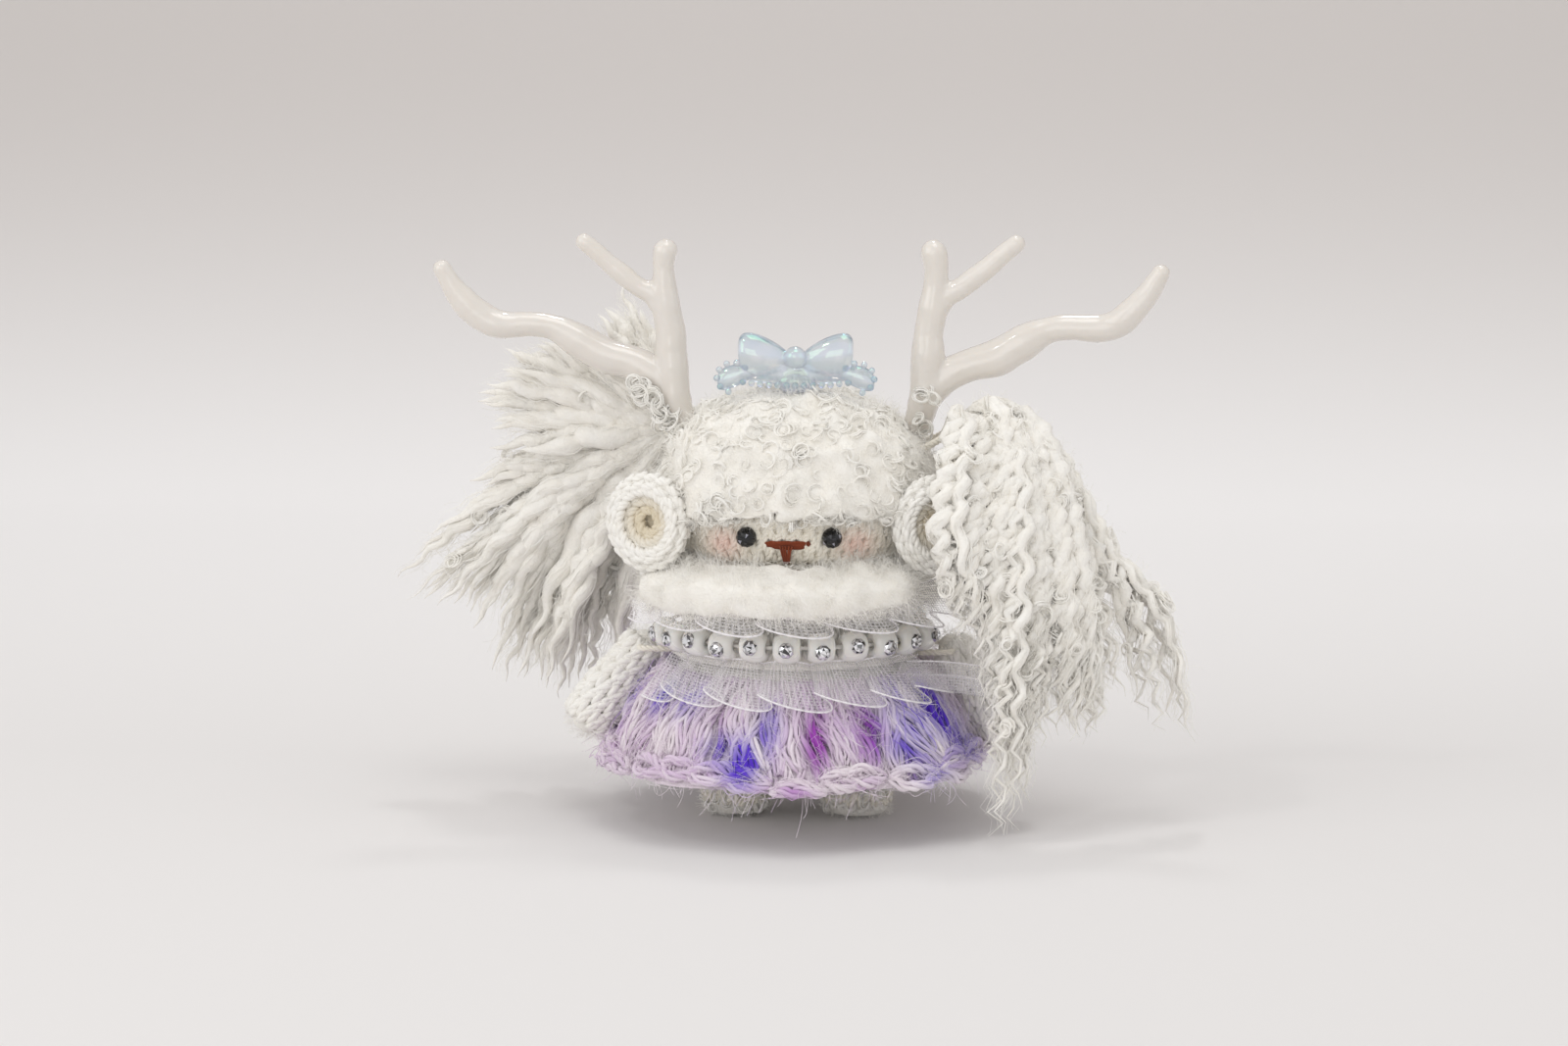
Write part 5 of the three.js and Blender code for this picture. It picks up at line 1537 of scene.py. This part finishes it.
class LAMB_OT_necklace(bpy.types.Operator):
    """Makes the milky beads with their stones and the strand round the back"""

    bl_idname = "lamb.make_necklace"
    bl_label = "Necklace"

    def execute(self, context):
        cloth = context.scene.lamb_dress
        self.rng = np.random.default_rng(97)
        self.milk = Finish("milky_bead", Roughness=0.3, IOR=1.45, Transmission_Weight=0.2)
        self.milk.set(Coat_Weight=0.7, Coat_Roughness=0.05)
        self.milk.set(Subsurface_Weight=0.5, Subsurface_Radius=(1.0, 0.9, 0.75), Subsurface_Scale=0.0012)
        haze = self.milk.noise(1.8)
        warm = tuple(np.array(cloth.bead) * [0.98, 0.965, 0.93])
        self.milk.set(Base_Color=self.milk.mix(haze, cloth.bead, warm))
        self.glass = Finish("foiled_stone", Metallic=0.95, Roughness=0.07, Coat_Weight=1.0)
        self.glass.set(Base_Color=self.glass.tint())
        self.bead_mesh = self.bead_shape()
        for number in range(1, 12):
            self.bead(f"bead_{number:02d}", f"stone_{number:02d}")
        self.strand(cloth)
        return {"FINISHED"}

    def bead_shape(self):
        low, high = corners_mm("bead_06")
        radius, half = (high[2] - low[2]) / 2, (high[0] - low[0]) / 2
        bore = 0.8
        turn = np.linspace(-0.46 * np.pi, 0.46 * np.pi, 13)
        along = np.concatenate([half * np.sin(turn), [half * 0.9, -half * 0.9]])
        out = np.concatenate([bore + (radius - bore) * np.cos(turn) ** 0.55, [bore, bore]])
        sides = 28
        angle = FULL_TURN * np.arange(sides) / sides
        points = np.stack(
            [
                np.broadcast_to(along[:, None], (len(along), sides)),
                out[:, None] * np.cos(angle),
                out[:, None] * np.sin(angle),
            ],
            axis=-1,
        )
        rings = len(along)
        ring, side = np.meshgrid(np.arange(rings), np.arange(sides), indexing="ij")
        after, upper = (side + 1) % sides, (ring + 1) % rings
        ring, upper = ring * sides, upper * sides
        faces = np.stack([ring + side, upper + side, upper + after, ring + after], axis=-1)
        return points.reshape(-1, 3), faces.reshape(-1, 4)

    def ways(self, around):
        """Outward and sideways at an angle from the front."""
        sine, cosine = math.sin(around), math.cos(around)
        return np.array([sine, -cosine, 0.0]), np.array([cosine, sine, 0.0])

    def place(self, name, centre, beside, up, facing, stands_for=()):
        points, faces = self.bead_mesh
        placed = centre + points[:, :1] * beside + points[:, 1:2] * up + points[:, 2:] * facing
        bead = link(name, mesh_of(name, placed, faces))
        dress(bead, self.milk.material, stands_for=stands_for)

    def bead(self, node, stone_node):
        low, high = corners_mm(node)
        stone_low, stone_high = corners_mm(stone_node)
        stone = (stone_low + stone_high) / 2
        outward, beside = self.ways(math.atan2(stone[0], -stone[1]))
        centre = np.array([*(stone[:2] - outward[:2] * 2.6), (low[2] + high[2]) / 2])
        facing = unit(stone - centre)
        self.place(f"milky_{node}", centre, beside, -np.cross(beside, facing), facing, [node])
        self.stone(stone_node, stone, facing, beside)

    def stone(self, node, centre, facing, beside):
        up, centre = np.cross(facing, beside), centre + 0.5 * facing
        rings = ((1.55, -0.7, 8, 0.0), (1.62, -0.1, 8, 0.5), (1.28, 0.38, 8, 0.0), (0.72, 0.66, 8, 0.5))
        shape = bmesh.new()
        for radius, height, count, shift in rings:
            for k in range(count):
                turn = FULL_TURN * (k + shift) / count
                point = centre + radius * (math.cos(turn) * beside + math.sin(turn) * up) + height * facing
                shape.verts.new(point * MM)
        bmesh.ops.convex_hull(shape, input=shape.verts)
        mesh = facets(f"cut_{node}", shape)
        # Painted reflections: each facet of the foiled stone is painted a tone from bright to dark for what
        # it reflects.
        facet_reflections, odds = [0.95, 0.8, 0.5, 0.16, 0.05], [0.3, 0.25, 0.15, 0.2, 0.1]
        facet_reflections = self.rng.choice(facet_reflections, size=len(mesh.polygons), p=odds)
        paint_faces(mesh, facet_reflections[:, None] * np.array([0.97, 0.97, 1.0]))
        dress(link(f"cut_{node}", mesh), self.glass.material, stands_for=[node])

    def strand(self, cloth):
        low, high = corners_mm("necklace_back_strand")
        middle = (low[2] + high[2]) / 2
        radius = np.linalg.norm(np.mean(corners_mm("bead_06"), axis=0)[:2])
        turn = np.linspace(0, FULL_TURN, 241)
        level = np.full_like(turn, middle)
        line = np.stack([radius * np.sin(turn), -radius * np.cos(turn), level], axis=-1)[None]
        cord = strand_object("necklace_cord", plied(line, 0.22, 3, 70), 0.24, cloth.bead, 6)
        finish = wool_finish("necklace_cord_thread", (0.9, 0.88, 0.84))
        dress(cord, finish, stands_for=["necklace_back_strand"])
        for number in range(9):
            outward, beside = self.ways(math.radians(180 + (number - 4) * 13.7))
            self.place(f"back_bead_{number + 1}", radius * outward + middle * UP, beside, -UP, outward)


class LAMB_OT_arms(bpy.types.Operator):
    """Makes the chunky crochet arms and their sewing loops"""

    bl_idname = "lamb.make_arms"
    bl_label = "Arms"

    def execute(self, context):
        yarn = context.scene.lamb_yarn
        rng = np.random.default_rng(101)
        ground = felt_finish("arm_ground", yarn.white, yarn.shadow)
        finish = wool_finish("arm_yarn", yarn.shadow)
        for side, name in SIDES:
            node = f"{name}_arm"
            arm = soft_copy(f"{name}_arm_wool", node, voxel=0.7, smoothing=5, inset=1.3)
            dress(arm, ground, node, [node])
            shoulder = joint_mm(f"{name}_arm_lift")
            low, high = corners_mm(node)
            outer = high[0] if side > 0 else low[0]
            hand = np.array([outer - side * 5.8, (low[1] + high[1]) / 2 - 1.4, low[2] + 5.8])
            axis = unit(hand - shoulder)
            reach = np.linalg.norm(hand - shoulder)
            front = unit(np.cross(np.array([0.0, 1.0, 0.0]), axis)) * side
            skin = Skin(arm).around(shoulder, axis, front)
            width = yarn.arm_stitch / MM
            rows = even_rows(-2.2, reach + 3.6, 3.3, lambda level: 32.0 if level < reach + 2 else 22.0, width)
            lines = stitch_lines(skin, rows, 3.4, 0.75, 7)
            stitches = yarn_object(f"{name}_arm_stitches", lines, yarn.arm_yarn / MM, yarn.white)
            dress(stitches, finish, node)
            roots, normals = scatter(arm, 1500, rng)
            hairs = fibres(roots + 0.7 * normals, normals, length=2.0, spread=0.7, bend=1.2, rng=rng)
            dress(strand_object(f"{name}_arm_fuzz", hairs, 0.035, yarn.white), finish, node)
            node, ends = f"{name}_shoulder_loop", shoulder[2]
            loop = sewn_loop(node, shoulder, side, 0.7, ends, corner=1.4, dip=0.0, turns=7, tint=yarn.cream)
            dress(loop, finish, stands_for=[node])
        return {"FINISHED"}


class LAMB_OT_pigtails(bpy.types.Operator):
    """Makes the two pigtails of wavy wool locks and their ties"""

    bl_idname = "lamb.make_pigtails"
    bl_label = "Pigtails"

    # Lock routes from the knot: thickness, then points out, back and up from it.
    left_locks = (
        (0.8, (3, 3, 9), (7, 6, 23)),
        (0.9, (6, 4, 11), (13, 7, 21)),
        (1.0, (9, 5, 10), (22, 9, 15)),
        (1.1, (14, 3, 8), (30, 7, 13.5)),
        (1.1, (16, 3, 7), (36, 6, 11)),
        (1.1, (15, 9, 5), (38, 13, 5)),
        (1.1, (16, 3, -1), (38, 5, -5)),
        (1.0, (19, 9, -6), (46, 12, -22)),
        (0.45, (24, 6, -12), (43, 8, -26), (56.5, 8, -38)),
        (1.0, (18, 5, -10), (33, 7, -24), (43, 8, -37)),
        (1.0, (17, 4, -12), (29, 6, -27), (37, 6, -45)),
        (1.1, (13, 10, -14), (25, 14, -34), (33, 13, -55)),
        (1.0, (9, 4, -15), (19, 6, -33), (25, 6, -52)),
        (1.0, (9, 12, -16), (18, 15, -36), (21, 15, -56)),
        (0.9, (4, 9, -14), (10, 12, -30), (12, 12, -46)),
    )
    right_locks = (
        (0.9, (3, -5, 6), (2.5, -16, 1), (0.5, -27, -12), (1.5, -30, -22), (6, -30, -34)),
        (1.0, (9, -3, 6), (10, -14, -2), (8, -26, -18), (9, -28, -32), (11, -27, -43)),
        (1.0, (10, -6, 7), (15, -18, -8), (14, -28, -34), (13, -28, -54)),
        (0.7, (9, -6, 6), (15, -18, -8), (14, -28, -30), (12, -32, -54), (12, -33, -75.5)),
        (1.1, (11, -6, 7), (19, -19, -12), (20, -28, -40), (19, -28, -58)),
        (1.1, (12, -2, 7), (22, -14, -10), (26, -23, -36), (25, -24, -52)),
        (1.1, (14, -4, 6), (25, -14, -14), (30, -20, -42), (30, -20, -58)),
        (1.0, (13, -1, 4), (24, -8, -10), (29, -14, -26), (34, -16, -48)),
        (0.6, (14, -3, 4), (25, -7, -6), (32, -9, -19), (40, -9, -27), (46, -9, -36), (50.5, -8, -60)),
    )
    steps = 44

    def execute(self, context):
        self.yarn = context.scene.lamb_yarn
        self.white = np.array(self.yarn.white)
        self.finish = wool_finish("lock_wool", self.yarn.shadow, sheen=0.0)
        self.core = felt_finish("lock_core", self.yarn.white, self.yarn.shadow)
        rng = np.random.default_rng(113)
        self.pigtail("left", -1, self.left_locks, (2.0, 0.6, 9.0, 0.15, 6, 2.2, 10, 0.09), rng)
        self.pigtail("right", 1, self.right_locks, (1.4, 1.35, 6.0, 0.25, 9, 1.5, 9, 0.095), rng)
        return {"FINISHED"}

    def pigtail(self, name, side, locks, shape, rng):
        """All the locks of one side.

        The shape is their radius, wave, wave length, twist, locks added between two neighbours and how
        far these wander, and the number and radius of their strands.
        """
        node = f"{name}_pigtail"
        knot = joint_mm(f"{node}_swing")
        radius, _, _, _, between, loose, _, _ = shape
        tip = np.interp(np.linspace(0, 1, self.steps), [0, 0.7, 0.95, 1], [1, 1, 0.5, 0.2])
        cores, core_radii, strands, radii = [], [], [], []
        for thick, points in self.fuller(locks, between, loose, rng):
            placed = knot + np.array(points) * [side, 1, 1]
            core, full, hairs, sizes = self.lock(placed, radius * thick, shape, rng)
            cores.append(core)
            core_radii.append(0.97 * full * tip)
            strands.extend(hairs)
            radii.extend(sizes)
        cores, strands, radii = np.array(cores), np.array(strands), np.array(radii)
        for lines in (cores, strands):
            above_floor(lines, 0.9)
        core = strand_object(f"{node}_cores", cores, np.array(core_radii), self.white, 8)
        dress(core, self.core, node, [node])
        shades = uneven(self.white, len(strands), rng)
        pieces = math.ceil(len(strands) * self.steps * 6 / PIECE_TRIANGLES)
        for number, part in enumerate(np.array_split(np.arange(len(strands)), pieces)):
            lock = strand_object(f"{node}_locks_{number + 1}", strands[part], radii[part], shades[part], 3)
            dress(lock, self.finish, node)
        self.fluff(node, strands, rng)
        self.ringlets(node, strands, 240 if name == "right" else 90, rng)
        self.tie(name, side, knot)

    def fuller(self, locks, between, loose, rng):
        """The given locks and some more between each two neighbours."""
        routes = [(thick, np.array([(0, 0, 0), *points], float)) for thick, *points in locks]
        made = list(routes)
        for (thick, points), (next_thick, next_points) in zip(routes, routes[1:]):
            first, _ = smooth_line(points, 5)
            second, _ = smooth_line(next_points, 5)
            for number in range(between):
                share = (number + 1) / (between + 1)
                wander = rng.normal(size=(1, 3)) * np.array([[0], [0.4], [0.8], [1.0], [1.2]])
                made.append((
                    max(0.8, thick + share * (next_thick - thick)) * rng.uniform(0.75, 1.25),
                    first + share * (second - first) + loose * wander,
                ))
        return made

    def lock(self, points, radius, shape, rng):
        """A wavy lock: its core line and radii, and the strands that wind round it."""
        _, wave, wave_length, twist, _, _, count, fine = shape
        line, length = smooth_line(points, self.steps)
        first, second = (ways[0] for ways in side_ways(line[None]))
        share = np.linspace(0, 1, self.steps)
        turn = FULL_TURN * length * share / (wave_length * rng.uniform(0.65, 1.5)) + rng.uniform(0, ANY_PHASE)
        turn = turn + 0.9 * np.sin(FULL_TURN * share * rng.uniform(1.0, 2.5) + rng.uniform(0, ANY_PHASE))
        swing = wave * ease(0.06, 0.35, share) * rng.uniform(0.4, 1.5)
        line = line + (swing * np.cos(turn))[:, None] * first + (0.7 * swing * np.sin(turn))[:, None] * second
        full = radius * np.interp(share, [0, 0.15, 0.4, 0.75, 0.95, 1], [0.5, 0.85, 1, 0.85, 0.45, 0.15])
        full = full * (1 + 0.1 * np.sin(2 * turn + rng.uniform(0, ANY_PHASE)))
        first, second = (ways[0] for ways in side_ways(line[None]))
        hairs, sizes = [], []
        for number in range(count):
            drift = FULL_TURN * (number + 0.5 * rng.normal()) / count + 0.5 * rng.normal() * share
            drift = drift + twist * FULL_TURN * length * share / 9.0
            crimp = FULL_TURN * length * share / rng.uniform(3.5, 6.0) + rng.uniform(0, ANY_PHASE)
            out = full * rng.uniform(0.85, 1.05) + 0.1 * np.sin(crimp)
            out = out + rng.uniform(0, 2.2) * ease(0.6, 1, share)
            drift = drift + 0.14 * np.cos(crimp)
            hair = line + (out * np.cos(drift))[:, None] * first + (out * np.sin(drift))[:, None] * second
            at = np.linspace(0, rng.uniform(0.93, 1.0), self.steps)
            hairs.append(np.stack([np.interp(at, share, hair[:, k]) for k in range(3)], axis=1))
            taper = np.interp(share, [0, 0.7, 1], [1, 1, 0.3])
            sizes.append(fine * taper * rng.uniform(0.7, 1.3))
        return line, full, hairs, sizes

    def fluff(self, node, strands, rng):
        """Loose hairs along the locks."""
        count = 7500
        chosen = rng.integers(len(strands), size=count)
        step = rng.integers(4, self.steps - 3, size=count)
        roots = strands[chosen, step]
        along = unit(strands[chosen, step + 2] - strands[chosen, step])
        aside = unit(np.cross(along, rng.normal(size=(count, 3))))
        hairs = fibres(roots, unit(aside + 0.8 * along), length=4.8, spread=0.5, bend=4.2, rng=rng)
        above_floor(hairs, 0.4)
        dress(strand_object(f"{node}_fluff", hairs, 0.034, self.white), self.finish, node)

    def ringlets(self, node, strands, count, rng):
        """Small curls that spring from the locks."""
        chosen = rng.integers(len(strands), size=count)
        step = rng.integers(6, self.steps - 6, size=count)
        roots = strands[chosen, step]
        along = unit(strands[chosen, step + 2] - strands[chosen, step])
        aside = unit(np.cross(along, rng.normal(size=(count, 3))) - [0, 0.8, 0])
        rings = curls(roots, aside, radius=1.35, turns=1.3, strands=4, rng=rng, looseness=0.22)
        above_floor(rings, 0.4)
        shades = uneven(self.white, len(rings), rng)
        dress(strand_object(f"{node}_ringlets", rings, 0.14, shades, 4), self.finish, node)

    def tie(self, name, side, knot):
        node, yarn = f"{name}_pigtail_tie", 0.8
        ends = corners_mm(node)[0][2] + yarn
        tie = sewn_loop(node, knot, side, yarn, ends, corner=1.5, dip=0.9, turns=8, tint=self.yarn.cream)
        dress(tie, self.finish, stands_for=[node])


PIECES = (
    LAMB_OT_stage,
    LAMB_OT_body,
    LAMB_OT_head,
    LAMB_OT_cap,
    LAMB_OT_ears,
    LAMB_OT_antlers,
    LAMB_OT_bow,
    LAMB_OT_skirt,
    LAMB_OT_collar,
    LAMB_OT_ruffles,
    LAMB_OT_necklace,
    LAMB_OT_arms,
    LAMB_OT_pigtails,
)


class LAMB_PT_pieces(bpy.types.Panel):
    """Lists the lamb's settings and pieces"""

    bl_idname = "LAMB_PT_pieces"
    bl_label = "Crochet Lamb"
    bl_space_type = "VIEW_3D"
    bl_region_type = "UI"
    bl_category = "Lamb"

    def draw(self, context):
        layout = self.layout
        for group in SETTINGS:
            box = layout.box()
            settings = getattr(context.scene, group)
            for name in settings.__annotations__:
                box.prop(settings, name)
        for piece in PIECES:
            layout.operator(piece.bl_idname)


SETTINGS = {
    "lamb_yarn": YarnSettings,
    "lamb_dress": DressSettings,
    "lamb_trim": TrimSettings,
    "lamb_stage": StageSettings,
}
CLASSES = (*SETTINGS.values(), *PIECES, LAMB_PT_pieces)


def register():
    for item in CLASSES:
        bpy.utils.register_class(item)
    for name, group in SETTINGS.items():
        setattr(bpy.types.Scene, name, PointerProperty(type=group))


def unregister():
    for name in SETTINGS:
        delattr(bpy.types.Scene, name)
    for item in reversed(CLASSES):
        bpy.utils.unregister_class(item)


def main():
    register()
    for piece in PIECES:
        area, _, name = piece.bl_idname.partition(".")
        getattr(getattr(bpy.ops, area), name)()


if __name__ == "__main__":
    main()
